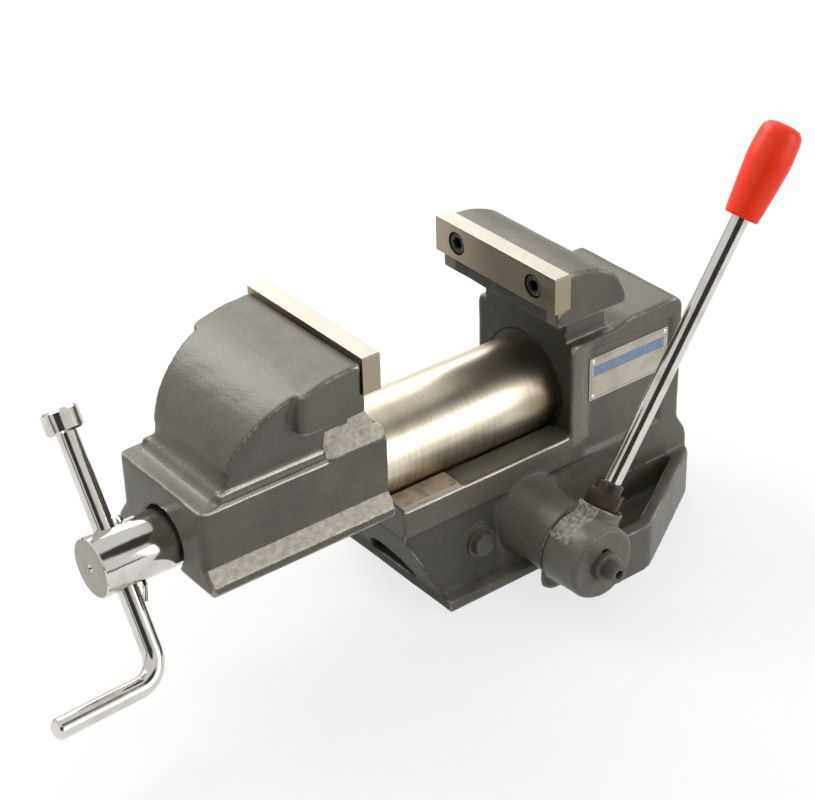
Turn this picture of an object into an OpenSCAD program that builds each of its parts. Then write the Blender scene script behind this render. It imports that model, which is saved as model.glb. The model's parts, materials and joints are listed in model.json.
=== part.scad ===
// Quick-release bench vise. A front jaw slides with a ground tube through a cast body, a lever
// clamps the tube from below, and a short screw with a crank gives the last squeeze.
// Frame: X to the operator's right, Y to the rear, Z up. Y = 0 is the clamping face of the
// fixed jaw plate, X = 0 the centre plane and Z = 0 the bench.

/* [Jaws] */
// Width of the jaw plates
jaw_w = 125; // [116:1:140]
// Height of a jaw plate
plate_h = 26.5; // [22:0.5:32]
// Thickness of a jaw plate
plate_t = 13.5; // [12:0.5:16]
// Height of the jaw tops above the bench
jaw_top = 225.5; // [220:0.5:240]
// Gap between the jaw plates as drawn
jaw_gap = 143.5; // [120:0.5:150]
// Width of the cast heads behind the plates
head_w = 122; // [112:1:130]
// Height of a cast head below the jaw tops
head_h = 40; // [36:0.5:46]
// Depth of the fixed head behind its plate
head_depth = 53; // [48:0.5:58]
// Distance between the two screws of a plate
screw_pitch = 80; // [60:1:90]
// Thread diameter of the plate screws
screw_d = 10; // [8:1:12]
// Width of the neck under the fixed head
neck_w = 86; // [78:1:92]

/* [Body] */
// Width of the block and of its rails
body_w = 101.5; // [98:0.5:108]
// Distance from the fixed jaw face back to the block
block_y = 27.5; // [26:0.5:32]
// Length of the block
block_len = 103; // [96:1:115]
// Height of the block's shoulders beside the neck
block_top = 159; // [154:0.5:164]
// Rise of the block's top behind the head
block_rise = 4.5; // [2:0.5:8]
// Swell of the block's lower rear
block_swell = 9.5; // [6:0.5:14]
// Height of the rails
rail_top = 88; // [84:0.5:89]
// Reach of the rails in front of the fixed jaw face
rail_reach = 119; // [110:1:126]
// Height of the rail sides above the seam
rail_h = 22; // [16:0.5:26]
// Length of the machined pads on the rails
rail_pad_len = 50; // [30:1:70]
// Width over the foot
foot_w = 126; // [118:1:136]
// Thickness of the foot's flange
foot_t = 9; // [6:0.5:12]
// Setback of the foot from the front of the rails
foot_back = 31; // [20:1:40]
// Width of the hollow under the body
hollow_w = 42; // [40:0.5:46]
// Depth of the panels in the block's sides
panel_depth = 2.5; // [1:0.5:4]

/* [Bolt wells] */
// Width over the two bolt wells
wells_w = 220; // [206:1:236]
// Height of the rim of a well
well_h = 37; // [28:0.5:44]
// Thickness of the wall round a well
well_wall = 10; // [7:0.5:13]
// Thickness of the floor of a well
well_floor = 12; // [9:0.5:16]
// Diameter of the bench bolt holes
bolt_d = 14; // [11:0.5:17]
// Distance between the two well bolts
bolt_pitch = 148; // [140:1:156]
// Distance of the well bolts behind the fixed jaw face
bolt_y = 50; // [44:1:58]
// Distance of the front bolt before the fixed jaw face
front_bolt_y = 76; // [75:0.5:78]

/* [Slide tube] */
// Outer diameter of the tube
tube_d = 70; // [66:0.5:72]
// Wall of the tube
tube_wall = 8; // [6:0.5:10]
// Height of the tube's axis
tube_z = 110.5; // [108:0.5:114]
// Length of tube inside the front jaw
tube_grip = 99; // [90:1:102]
// Length of tube behind the block
tube_tail = 8.5; // [6:0.5:14]
// Wall of the bushes that guide the tube
bush_wall = 4; // [3:0.5:5]
// Length of a guide bush
bush_len = 30; // [20:1:36]

/* [Front jaw] */
// Width of the box round the tube
box_w = 97; // [94:0.5:102]
// Length of the box
box_len = 143; // [138:1:150]
// Reach of the box behind the face of its plate
box_lip = 14.5; // [10:0.5:18]
// Height of the box's top
box_top = 151.5; // [149:0.5:156]
// Underside of the box above the bench
box_under = 94; // [92:0.5:97]
// Width over the side flanges
flange_w = 112; // [106:0.5:118]
// Height of the plinth under the hood
plinth_h = 6; // [3:0.5:9]
// Width of the plinth
plinth_w = 89; // [84:0.5:93]
// Width of the hood at its plinth
hood_w = 82; // [76:0.5:86]
// Length of the hood in front of its plate
hood_len = 92; // [84:1:98]
// Drop of the hood's top below the jaw tops
hood_drop = 4.5; // [2:0.5:8]
// Depth of the wide head behind the front plate
front_head_depth = 46; // [38:1:54]
// Thickness of the wall that carries the screw
front_wall = 19; // [16:0.5:24]

/* [Screw and crank] */
// Diameter of the screw's head
spindle_d = 40.5; // [36:0.5:44]
// Length of the screw's head before the box
spindle_out = 53; // [46:1:60]
// Diameter of the screw thread
thread_d = 28; // [24:1:30]
// Length of the feed nut
nut_len = 40; // [30:1:44]
// Diameter of the crank bar
bar_d = 14; // [12:0.5:16]
// Tilt of the crank bar from upright
bar_tilt = 33; // [0:1:60]
// Length of the bar above the screw's axis
bar_up = 84.5; // [76:0.5:92]
// Length of the bar below the axis, to its bend
bar_down = 80; // [72:0.5:88]
// Length of the crank's grip leg
leg_len = 82; // [64:0.5:96]
// Outward lean of the grip leg
leg_lean = 9; // [0:1:16]
// Centre-line radius of the crank's bend
bend_r = 18; // [15:0.5:24]
// Diameter of the crank's cap
cap_d = 25; // [22:0.5:30]
// Height of the crank's cap
cap_h = 15; // [12:0.5:18]

/* [Clamp lever] */
// Distance of the lever shaft before the fixed jaw face
shaft_fore = 12.6; // [10:0.1:15]
// Height of the lever shaft
shaft_z = 41.8; // [40:0.1:44]
// Diameter of the lever shaft
shaft_d = 28; // [26:0.5:30]
// Distance from the centre plane to the end of the shaft boss
boss_x = 97.5; // [92:0.5:102]
// Radius of the shaft boss at its root
boss_root_r = 30; // [29:0.5:33]
// Radius of the shaft boss and hub where they meet
boss_end_r = 28; // [26.5:0.5:29]
// Length of the lever hub
hub_len = 32; // [29:0.5:36]
// Angle of the lever above level, leaning to the rear
lever_angle = 56.4; // [45:0.1:70]
// Travel of the lever towards the operator
lever_travel = 60; // [40:1:70]
// Diameter of the lever rod
rod_d = 12.5; // [11:0.5:14]
// Distance from the shaft to the mouth of the rod socket
socket_len = 33; // [32:0.5:38]
// Distance from the shaft to the start of the grip
grip_start = 247; // [220:1:270]
// Length of the grip
grip_len = 67; // [56:1:80]
// Throw of the eccentric on the shaft
cam_throw = 2.5; // [1.5:0.1:3]
// Distance from the lever shaft to the rocker's pivot
rocker_arm = 44.4; // [42:0.1:47]
// Diameter of the rocker's pivot bolt
pivot_d = 12; // [10:0.5:14]

/* [Hidden] */
$fn = 64;

cast_grey = [0.40, 0.38, 0.34];
bare_grey = [0.62, 0.60, 0.57];
ground_steel = [0.74, 0.70, 0.63];
bright_steel = [0.82, 0.82, 0.84];
black_steel = [0.10, 0.10, 0.10];
bronze = [0.66, 0.48, 0.28];
grip_red = [0.90, 0.20, 0.13];
cream = [0.88, 0.85, 0.76];

run = 0.05;      // radial play of a running fit
seat = 0.02;     // radial play of a fixed fit
apart = 0.4;     // play between pieces that pass each other
past = 1;        // overrun of a cutting tool

// Slide tube
tube_r = tube_d / 2;
tube_bore_r = tube_r - tube_wall;
bush_r = tube_r + bush_wall;
trough_r = tube_r + 1.5;
block_y1 = block_y + block_len;
block_step = 39;
block_ramp = 14;
tail_y = block_y1 + block_swell;
tube_y1 = block_y1 + tube_tail;
end_cap_t = 4.5;
end_cap_r = bush_r - 0.5;
end_plug = 12;

// Front jaw
plate_y = -jaw_gap;
seat_y = plate_y - plate_t;
box_y1 = plate_y + box_lip;
box_y0 = box_y1 - box_len;
wall_y = box_y0 + front_wall;
tube_y0 = box_y1 - tube_grip;
plinth_top = box_top + plinth_h;
hood_top = jaw_top - hood_drop;
head_z = jaw_top - head_h;
flange_drop = 10.5;
box_round = 6;
hood_power = 2.1;
cheek_y = 74;
cheek_swell = 10.5;
hood_tuck = 4;
front_ledge = 3;
rough_pad_len = 17;
rough_pad_rise = 13.5;
rough_pad_back = 9;

// Plate screws
screw_z = jaw_top - plate_h / 2;
screw_head_r = 0.8 * screw_d;
screw_head_h = screw_d;
screw_grip = 24;
sunk = 0.8;

// Body
seam_z = rail_top - rail_h;
seam_in = 1;
base_x0 = body_w / 2 - seam_in;
base_z0 = foot_t + 6;
base_z1 = seam_z - 4;
swell_z1 = seam_z - 1;
swell_z0 = seam_z - 16;
flare = 4;
base_lean = flare + seam_in;
foot_y0 = -rail_reach + foot_back;
panel_y0 = block_y + 12;
panel_y1 = block_y1 - 18;
panel_z0 = 68;
panel_z1 = block_top - 8;
label_len = 73.5;
label_h = 33.5;
label_t = 0.8;
label_y0 = panel_y0 + 5.3;
label_y1 = label_y0 + label_len;
label_z1 = panel_z1 - 8.2;
label_z0 = label_z1 - label_h;
rivet_in = 3;
rivet_r = 1.3;
rivet_head_r = 2;
rivet_head_h = 0.7;
hollow_front = -82;
front_bolt_floor = 12;
window_w = 52;
window_rise = 19;
pad_rise = 2;
pad_in = 3.5;
head_drop = 1.6;
fixed_ledge = 8.5;
plate_z = jaw_top - plate_h;
rib_half = 8;
foot_trim_x = 12;
foot_trim_y = 28;

// Bolt wells
wells_x = wells_w / 2;
lug_fore = shaft_fore + 10;
lug_x = 75;
lug_back = 14;
lug_corner_x = lug_x + 11;
lug_bend_y = 50;
lug_tip_x = 57;

// Lever shaft and eccentric
shaft_y = -shaft_fore;
well_y0 = shaft_y + boss_end_r + 0.6;
shaft_r = shaft_d / 2;
shaft_bush_r = shaft_r + 3.5;
shaft_bush_len = 30;
cam_half = 18;
cam_r = shaft_r - cam_throw - 0.1;
cam_start = -lever_travel / 2;
left_boss_x = body_w / 2 + 10;
left_boss_r = 26;
ring_t = 2.5;
ring_r = shaft_r + 2;
cap_room = 3;
cap_wall = 3;
hub_gap = 0.4;
hub_x0 = boss_x + hub_gap;
hub_x1 = hub_x0 + hub_len;
hub_face_r = boss_end_r - 4;
hub_seat_r = 8.5;
lever_x = hub_x0 + 7.6;
jam_r = 13.4;
jam_h = 13;
jam_collar_r = 9;
jam_collar_h = 7;
socket_r = jam_r + 2.8;
socket_sink = 2;
grip_r = 15.4;
grip_wall = 16;
rod_r = rod_d / 2;
rod_root = 14;
key_w = 6;
key_len = 20;
collar_r = 10.5;
collar_t = 5;
hub_bolt_r = 4;
hub_bolt_head_r = 6.4;
hub_bolt_head_h = 10;
hub_bolt_grip = 20;

// Rocker
pivot_y = shaft_y - rocker_arm;
pivot_z = 39.5;
pivot_r = pivot_d / 2;
rocker_w = hollow_w - 8;
rocker_hub_r = pivot_r + 7;
rocker_bush_r = pivot_r + 3;
cam_reach = rocker_arm + cam_throw * cos(lever_travel / 2);
lift = 2 * cam_throw * sin(lever_travel / 2);
lift_angle = asin(lift / cam_reach);
cam_top = shaft_z + cam_throw * sin(lever_travel / 2) + cam_r;
rocker_under = cam_top + 0.55;
rocker_arm_t = 11;
rocker_top = rocker_under + rocker_arm_t;
rocker_root = 10;
rocker_knee = 6;
rocker_nape = 4;
pad_fore = 13;
pad_aft = 24;
pad_y0 = shaft_y - pad_fore;
pad_y1 = shaft_y + pad_aft;
pad_wrap = 2.5;
pad_top = tube_z - sqrt(pow(tube_r, 2) - pow(rocker_w / 2, 2)) + pad_wrap;
pad_screw_r = 2;
pad_screw_in = 7;
pad_screw_grip = 7.5;
pad_screw_hole = 8;
pad_head_r = 3.6;
pad_head_h = 2;
pad_seat = 5;
pivot_boss_r = 12.5;
pivot_washer_r = 11.5;
pivot_boss_x = base_x(pivot_z - pivot_washer_r) + 0.6;
washer_t = 1.5;
bolt_head_h = 4.5;
bolt_head_r = pivot_r + 3;
bolt_past = 4;
pivot_nut_h = 10;

// Screw
spindle_r = spindle_d / 2;
spindle_y0 = box_y0 - spindle_out;
mouth_r = spindle_r + 2.3;
journal_r = spindle_r - 4.3;
shoulder_y = box_y0 + 6;
thrust_t = 2.5;
collar_y = wall_y + apart;
collar_len = 6;
thread_r = thread_d / 2;
thread_past = 60;
thread_end = tube_y0 + nut_len + thread_past;
cross_y = spindle_y0 + 18;
bar_r = bar_d / 2;
spring_w = 6;
spring_t = 1;
spring_tab = 12;
spring_lip = 3;
spring_off = 5;
spring_lean = asin((spring_off - 0.5) / spring_tab);

// Keys
key_half = 4;
key_play = 0.3;
key_depth = 4;
guide_key_len = 24;
guide_key_y = (block_y + block_y1) / 2 - guide_key_len / 2;
jaw_key_len = 34;
jaw_key_y = tube_y0 + 14;
slide_close = 128;
feed_close = 15;
feed_open = 5;

// Half width of the leaning side of the lower body at height z
function base_x(z) = base_x0 + base_lean * (base_z1 - z) / (base_z1 - base_z0);

// Unit vector from a to b
function toward(a, b) = (b - a) / norm(b - a);

// Arc of radius r that rounds the corner q between p and s
function corner(p, q, s, r, n = 6) =
    let (u = toward(q, p), v = toward(q, s), half = acos(u * v) / 2,
        c = q + toward([0, 0], u + v) * r / sin(half),
        d0 = q + u * r / tan(half) - c, d1 = q + v * r / tan(half) - c,
        a0 = atan2(d0[1], d0[0]), turn = atan2(d1[1], d1[0]) - a0,
        sweep = turn > 180 ? turn - 360 : (turn < -180 ? turn + 360 : turn))
    [for (i = [0 : n]) c + r * [cos(a0 + sweep * i / n), sin(a0 + sweep * i / n)]];

// Outline whose corners, given as [x, y, radius], are rounded
function rounded(pts) = let (n = len(pts), at = [for (p = pts) [p[0], p[1]]])
    [for (i = [0 : n - 1])
        each pts[i][2] > 0 ? corner(at[(i + n - 1) % n], at[i], at[(i + 1) % n], pts[i][2])
            : [at[i]]];

// Quarter of a squared ellipse from its top to its end, reaching along dir
function crown(centre, reach, rise, power, dir, n = 20) =
    [for (i = [0 : n]) let (t = 90 - 90 * i / n)
        centre + [dir * reach * pow(cos(t), 2 / power), rise * pow(sin(t), 2 / power)]];

// Outline mirrored to the other side of the first axis
function both_sides(half) = concat(half, [for (i = [len(half) - 1 : -1 : 0])
    [-half[i][0], half[i][1]]]);

// Side outline in Y and Z, as wide as w about the centre plane
module wide(w) {
    translate([-w / 2, 0, 0]) rotate([90, 0, 90]) linear_extrude(w) children();
}

// Cross-section in X and Z, from y0 to y1
module long(y0, y1) {
    translate([0, y1, 0]) rotate([90, 0, 0]) linear_extrude(y1 - y0) children();
}

// Box between two corners
module block(lo, hi) {
    translate(lo) cube(hi - lo);
}

// Round bar along X at height z, from x0 to x1
module rod_x(x0, x1, r, y, z) {
    translate([x0, y, z]) rotate([0, 90, 0]) cylinder(h = x1 - x0, r = r);
}

// Round bar along Y on the tube's axis
module rod_y(y0, y1, r) {
    translate([0, y0, tube_z]) rotate([-90, 0, 0]) cylinder(h = y1 - y0, r = r);
}

// Turned shape about the lever shaft: profile of radius against X
module turned_x(profile) {
    translate([0, shaft_y, shaft_z]) rotate([0, 90, 0]) rotate_extrude() polygon(profile);
}

// Both sides of the centre plane
module mirrored() {
    children();
    mirror([1, 0, 0]) children();
}

// Lever's own axis: Z runs out along the rod from the shaft
module along_lever() {
    translate([lever_x, shaft_y, shaft_z]) rotate([lever_angle - 90, 0, 0]) children();
}

// Crank's own axis: Z runs up the bar from the screw's axis
module along_bar() {
    translate([0, cross_y, tube_z]) rotate([0, -bar_tilt, 0]) children();
}

// Rocker set from its raised place to its lowered one
module lowered() {
    translate([0, pivot_y, pivot_z]) rotate([-lift_angle, 0, 0])
        translate([0, -pivot_y, -pivot_z]) children();
}

// Holes for a plate's screws, through the plate and into its head at seat
module screw_holes(face, dir) {
    for (side = [-1, 1])
        translate([side * screw_pitch / 2, face, screw_z]) rotate([-90 * dir, 0, 0]) {
            translate([0, 0, -past]) cylinder(h = plate_t + screw_grip + 4, r = screw_d / 2 + 0.1);
            translate([0, 0, -past])
                cylinder(h = past + sunk + screw_head_h, r = screw_head_r + 0.5);
        }
}

// Socket-head screws of a plate
module plate_screws(face, dir) {
    for (side = [-1, 1])
        translate([side * screw_pitch / 2, face, screw_z]) rotate([-90 * dir, 0, 0])
            translate([0, 0, sunk]) difference() {
                union() {
                    cylinder(h = screw_head_h, r = screw_head_r);
                    cylinder(h = plate_t + screw_grip, r = screw_d / 2);
                }
                translate([0, 0, -past])
                    cylinder(h = past + screw_d / 2, r = 0.46 * screw_d, $fn = 6);
            }
}

// Jaw plate whose clamping face is at y = face and whose back lies along dir
module plate(face, dir) {
    bevel = 0.8;
    lo = min(face, face + dir * plate_t);
    difference() {
        intersection() {
            long(lo, lo + plate_t) polygon(rounded([
                [-jaw_w / 2, jaw_top - plate_h, bevel], [jaw_w / 2, jaw_top - plate_h, bevel],
                [jaw_w / 2, jaw_top, bevel], [-jaw_w / 2, jaw_top, bevel]]));
            wide(jaw_w) polygon(rounded([
                [lo, jaw_top - plate_h, bevel], [lo + plate_t, jaw_top - plate_h, bevel],
                [lo + plate_t, jaw_top, bevel], [lo, jaw_top, bevel]]));
        }
        screw_holes(face, dir);
    }
}

// Cross-section of the lower body, from the seam down to the foot
module base_section() {
    polygon(both_sides([[base_x0, seam_z + past], [base_x0, base_z1], [base_x0 + base_lean, base_z0],
        [body_w / 2 + flare + 2, foot_t + 1.5], [foot_w / 2 - 1, foot_t], [foot_w / 2, foot_t - 1],
        [foot_w / 2, 0]]));
}

// Side outline of the lower body
module base_side() {
    polygon(rounded([[-rail_reach, seam_z + past, 0], [-rail_reach, seam_z - 2, 4],
        [foot_y0 - 4, foot_t + 2, 6], [foot_y0 - 3, 0, 0], [tail_y, 0, 0],
        [tail_y, swell_z0, 12], [block_y1, swell_z1, 16], [block_y1, rail_top, 0],
        [block_y, rail_top, 0], [block_y, seam_z + past, 0]]));
}

// Plan of the lower body, its rear corners cut off
module foot_plan() {
    polygon(both_sides([[foot_w / 2, -rail_reach], [foot_w / 2, tail_y - foot_trim_y],
        [foot_w / 2 - foot_trim_x, tail_y]]));
}

// Side outline of the block above the lower body
module block_side() {
    rear_top = block_top + block_rise;
    step_y = block_y + block_step;
    polygon(rounded([[block_y, foot_t, 0], [block_y, block_top, 3], [step_y, block_top, 10],
        [step_y + block_ramp, rear_top, 10], [block_y1, rear_top + 1.5, 9], [block_y1, swell_z1, 16],
        [tail_y, swell_z0, 12], [tail_y, foot_t, 0]]));
}

// Fixed head: crowned at the back, upright at the plate, with a ledge under the plate
module fixed_head() {
    wide(head_w) polygon(concat([[plate_t, head_z]],
        crown([plate_t, head_z], head_depth, head_h - head_drop, 2.1, 1)));
    block([-head_w / 2, plate_t - fixed_ledge, head_z], [head_w / 2, plate_t + past, plate_z]);
}

// Cove of radius r between an upright side at x and the underside of a head
module cove(x, z, r, y0, y1) {
    long(y0, y1) polygon(concat([[x - past, z + past], [x - past, z - r]],
        [for (a = [180 : -10 : 90]) [x + r + r * cos(a), z - r + r * sin(a)]],
        [[x + r, z + past]]));
}

// Foot, wall and pocket of one bolt well, on the right side
module well_foot() {
    linear_extrude(well_floor) polygon(rounded([[body_w / 2 - 12, lug_back - lug_fore, 0],
        [lug_x - 1, lug_back - lug_fore, 3], [lug_x, -lug_fore, 4],
        [lug_corner_x, -lug_fore, 5], [lug_corner_x + 1, lug_back - lug_fore, 3],
        [wells_x, 4, 14], [wells_x, lug_bend_y, 12],
        [lug_tip_x, tail_y - 2, 8], [body_w / 2 - 12, tail_y - 2, 0]]));
}

module well_walls() {
    linear_extrude(well_h) polygon(rounded([[body_w / 2 - 12, well_y0, 0],
        [wells_x, well_y0, 5], [wells_x, lug_bend_y, 12], [lug_tip_x, tail_y - 2, 8],
        [body_w / 2 - 12, tail_y - 2, 0]]));
}

module well_pocket() {
    run_y = tail_y - 2 - lug_bend_y;
    run_x = wells_x - lug_tip_x;
    slope = run_y / run_x;
    shift = well_wall * sqrt(1 + slope * slope);
    x0 = body_w / 2 + 0.8;
    x1 = wells_x - well_wall;
    bend = lug_bend_y + (wells_x - x1) * slope - shift;
    end = lug_bend_y + (wells_x - x0) * slope - shift;
    translate([0, 0, well_floor]) linear_extrude(well_h) polygon(rounded([
        [x0, well_y0 + well_wall, 4], [x1, well_y0 + well_wall, 6], [x1, bend, 8],
        [x0, end, 3]]));
}

// Waisted boss that carries the lever shaft on the right
module shaft_boss() {
    root = body_w / 2 - 4;
    waist = (root + boss_x) / 2;
    waist_r = boss_end_r - 2;
    turned_x(concat([[0, root], [boss_root_r, root]],
        [for (i = [0 : 10]) let (t = i / 10)
            [waist_r + (boss_root_r - waist_r) * pow(1 - t, 2), root + 4 + (waist - root - 4) * t]],
        [for (i = [1 : 10]) let (t = i / 10)
            [waist_r + (boss_end_r - waist_r) * pow(t, 2), waist + (boss_x - waist) * t]],
        [[0, boss_x]]));
}

// Bare body before its bores
module body_solid() {
    intersection() {
        long(-rail_reach, tail_y) base_section();
        wide(foot_w) base_side();
        linear_extrude(rail_top) foot_plan();
    }
    long(-rail_reach, block_y + 4) polygon(rounded([
        [-body_w / 2, seam_z, 0], [body_w / 2, seam_z, 0],
        [body_w / 2, rail_top, 2], [-body_w / 2, rail_top, 2]]));
    mirrored() block([tube_r * 0.7, -rail_reach, rail_top - 2],
        [body_w / 2 - pad_in, -rail_reach + rail_pad_len, rail_top + pad_rise]);
    wide(body_w) block_side();
    block([-neck_w / 2, block_y, block_top - 6],
        [neck_w / 2, plate_t + head_depth - 3, head_z + 6]);
    fixed_head();
    mirrored() cove(neck_w / 2, head_z, 9, block_y, plate_t + head_depth - 4);
    mirrored() {
        well_foot();
        well_walls();
    }
    shaft_boss();
    rod_x(-left_boss_x, -body_w / 2 + 10, left_boss_r, shaft_y, shaft_z);
    rod_x(body_w / 2 - 8, pivot_boss_x, pivot_boss_r, pivot_y, pivot_z);
    rod_x(-pivot_boss_x, -body_w / 2 + 8, pivot_boss_r, pivot_y, pivot_z);
}

// Low arched window in the front of the base
module front_window() {
    half = window_w / 2;
    r = (half * half + window_rise * window_rise) / (2 * window_rise);
    intersection() {
        translate([0, 0, foot_t + window_rise - r]) rotate([90, 0, 0])
            cylinder(h = rail_reach + past, r = r);
        block([-half, -rail_reach - past, foot_t], [half, hollow_front + past, rail_top]);
    }
}

module body_casting() {
    color(cast_grey) difference() {
        body_solid();
        rod_y(-rail_reach - past, block_y + past, trough_r);
        rod_y(block_y, block_y1 + past, bush_r);
        block([-hollow_w / 2, hollow_front, front_bolt_floor], [hollow_w / 2, block_y - 6, tube_z]);
        block([-hollow_w / 2, pivot_y - 6, -past], [hollow_w / 2, -rib_half, tube_z]);
        block([-hollow_w / 2, rib_half, -past], [hollow_w / 2, block_y - 6, tube_z]);
        block([-hollow_w / 2, block_y + 6, -past], [hollow_w / 2, block_y1 - 8, tube_z - bush_r - 12]);
        front_window();
        mirrored() well_pocket();
        for (side = [-1, 1]) translate([side * bolt_pitch / 2, bolt_y, -past])
            cylinder(h = well_floor + 2 * past, r = bolt_d / 2);
        translate([0, -front_bolt_y, -past]) cylinder(h = front_bolt_floor + 2 * past, r = bolt_d / 2);
        mirrored() block([body_w / 2 - panel_depth, panel_y0, panel_z0],
            [body_w / 2 + past, panel_y1, panel_z1]);
        mirrored() block([body_w / 2 - panel_depth, panel_y0, label_z0 - rivet_in],
            [body_w / 2 + past, label_y1 + rivet_in, panel_z1]);
        rod_x(-left_boss_x - past, boss_x + past, shaft_bush_r, shaft_y, shaft_z);
        rod_x(-body_w, body_w, pivot_r + 0.1, pivot_y, pivot_z);
        screw_holes(0, 1);
        block([-key_half - seat, guide_key_y - seat, tube_z - bush_r - 8],
            [key_half + seat, guide_key_y + guide_key_len + seat, tube_z]);
        cap_screw_set(1.6, -left_boss_x - past, -left_boss_x + 9);
    }
}

module fixed_jaw_plate() {
    color(ground_steel) plate(0, 1);
}

module fixed_jaw_screws() {
    color(black_steel) plate_screws(0, 1);
}

module tube_bushes() {
    color(bronze) for (y = [block_y + 3, block_y1 - bush_len]) difference() {
        rod_y(y, y + bush_len, bush_r - seat);
        rod_y(y - past, y + bush_len + past, tube_r + run);
    }
}

module tube_wiper() {
    color(black_steel) difference() {
        rod_y(block_y, block_y + 3, bush_r - seat);
        rod_y(block_y - past, block_y + 3 + past, tube_r + run);
    }
}

module guide_key() {
    color(bright_steel) block([-key_half, guide_key_y, tube_z - bush_r - 8],
        [key_half, guide_key_y + guide_key_len, tube_z - tube_r + key_depth - 1]);
}

module nameplate() {
    x = body_w / 2 - panel_depth;
    color(cream) difference() {
        translate([x, 0, 0]) rotate([90, 0, 90]) linear_extrude(label_t) polygon(rounded([
            [label_y0, label_z0, 1.5], [label_y1, label_z0, 1.5],
            [label_y1, label_z1, 1.5], [label_y0, label_z1, 1.5]]));
        plate_rivets(rivet_r + seat, x - past, x + label_t + past);
    }
}

// Round pins at the nameplate's corners
module plate_rivets(r, x0, x1) {
    for (y = [label_y0 + rivet_in, label_y1 - rivet_in], z = [label_z0 + rivet_in, label_z1 - rivet_in])
        rod_x(x0, x1, r, y, z);
}

module nameplate_rivets() {
    x = body_w / 2 - panel_depth;
    color(bright_steel) {
        plate_rivets(rivet_r, x, x + label_t);
        plate_rivets(rivet_head_r, x + label_t, x + label_t + rivet_head_h);
    }
}

module shaft_bushes() {
    color(bronze) for (x = [boss_x - shaft_bush_len, -left_boss_x]) difference() {
        rod_x(x, x + shaft_bush_len, shaft_bush_r - seat, shaft_y, shaft_z);
        rod_x(x - past, x + shaft_bush_len + past, shaft_r + run, shaft_y, shaft_z);
    }
}

module shaft_cap() {
    x = -left_boss_x;
    color(cast_grey) difference() {
        rod_x(x - ring_t - cap_room - cap_wall, x, left_boss_r, shaft_y, shaft_z);
        rod_x(x - ring_t - cap_room, x + past, ring_r + 1, shaft_y, shaft_z);
        cap_screw_set(2.2, x - ring_t - cap_room - cap_wall - past, x + past);
    }
}

// Three places round the cap on the left boss
module cap_screw_set(r, x0, x1) {
    for (a = [90, 210, 330]) translate([x0, shaft_y, shaft_z]) rotate([a, 0, 0])
        translate([0, left_boss_r - 4, 0]) rotate([0, 90, 0]) cylinder(h = x1 - x0, r = r);
}

module shaft_cap_screws() {
    x = -left_boss_x - ring_t - cap_room - cap_wall;
    color(black_steel) {
        cap_screw_set(3.4, x - 2.5, x);
        cap_screw_set(1.5, x - 1, -left_boss_x + 6);
    }
}

module pivot_bolt() {
    x = pivot_boss_x + washer_t;
    color(cast_grey) {
        rod_x(-pivot_boss_x - pivot_nut_h - bolt_past, x, pivot_r, pivot_y, pivot_z);
        translate([x, pivot_y, pivot_z]) rotate([0, 90, 0])
            cylinder(h = bolt_head_h, r = bolt_head_r, $fn = 6);
    }
}

module pivot_washer() {
    color(cast_grey) difference() {
        rod_x(pivot_boss_x, pivot_boss_x + washer_t, pivot_washer_r, pivot_y, pivot_z);
        rod_x(pivot_boss_x - past, pivot_boss_x + washer_t + past, pivot_r + 0.1, pivot_y, pivot_z);
    }
}

module pivot_nut() {
    color(cast_grey) difference() {
        translate([-pivot_boss_x - pivot_nut_h, pivot_y, pivot_z]) rotate([0, 90, 0])
            cylinder(h = pivot_nut_h, r = bolt_head_r, $fn = 6);
        rod_x(-pivot_boss_x - pivot_nut_h - past, -pivot_boss_x + past, pivot_r + seat, pivot_y, pivot_z);
    }
}

module slide_tube() {
    color(ground_steel) difference() {
        rod_y(tube_y0, tube_y1, tube_r);
        rod_y(tube_y0 - past, tube_y1 + past, tube_bore_r);
        // Keyway below, for the body's key over the whole slide
        block([-key_half - key_play, guide_key_y - slide_close - 4, tube_z - tube_r - past],
            [key_half + key_play, tube_y1 + past, tube_z - tube_r + key_depth]);
        // Keyway above, for the front jaw's key over the screw's feed
        block([-key_half - key_play, jaw_key_y - feed_open - 2, tube_z + tube_r - key_depth],
            [key_half + key_play, jaw_key_y + jaw_key_len + feed_close + 2, tube_z + tube_r + past]);
        nut_pin_set(3 + seat, tube_bore_r - 8, tube_r + past);
    }
}

// Pins on both sides that lock the feed nut in the tube
module nut_pin_set(r, x0, x1) {
    mirrored() rod_x(x0, x1, r, tube_y0 + nut_len / 2, tube_z);
}

module feed_nut() {
    color(bronze) difference() {
        rod_y(tube_y0, tube_y0 + nut_len, tube_bore_r - seat);
        rod_y(tube_y0 - past, tube_y0 + nut_len + past, thread_r + run);
        nut_pin_set(3 + seat, tube_bore_r - 8, tube_bore_r + past);
    }
}

module feed_nut_pins() {
    color(bright_steel) nut_pin_set(3, tube_bore_r - 7.5, tube_r - 0.5);
}

module tube_end_cap() {
    color(cast_grey) {
        rod_y(tube_y1, tube_y1 + end_cap_t, end_cap_r);
        rod_y(tube_y1 - end_plug, tube_y1, tube_bore_r - seat);
    }
}

// Side outline of the hood, down to z
module hood_side(z) {
    polygon(concat([[seat_y, z]], crown([seat_y, z], hood_len, hood_top - z, hood_power, -1)));
}

// Plan of the hood's top, flaring back to the head
module hood_plan() {
    back_x = head_w / 2 - hood_tuck;
    polygon(both_sides([[hood_w / 2, seat_y - hood_len], [hood_w / 2 + cheek_swell, seat_y - cheek_y],
        [back_x, seat_y - front_head_depth], [back_x, seat_y]]));
}

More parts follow.
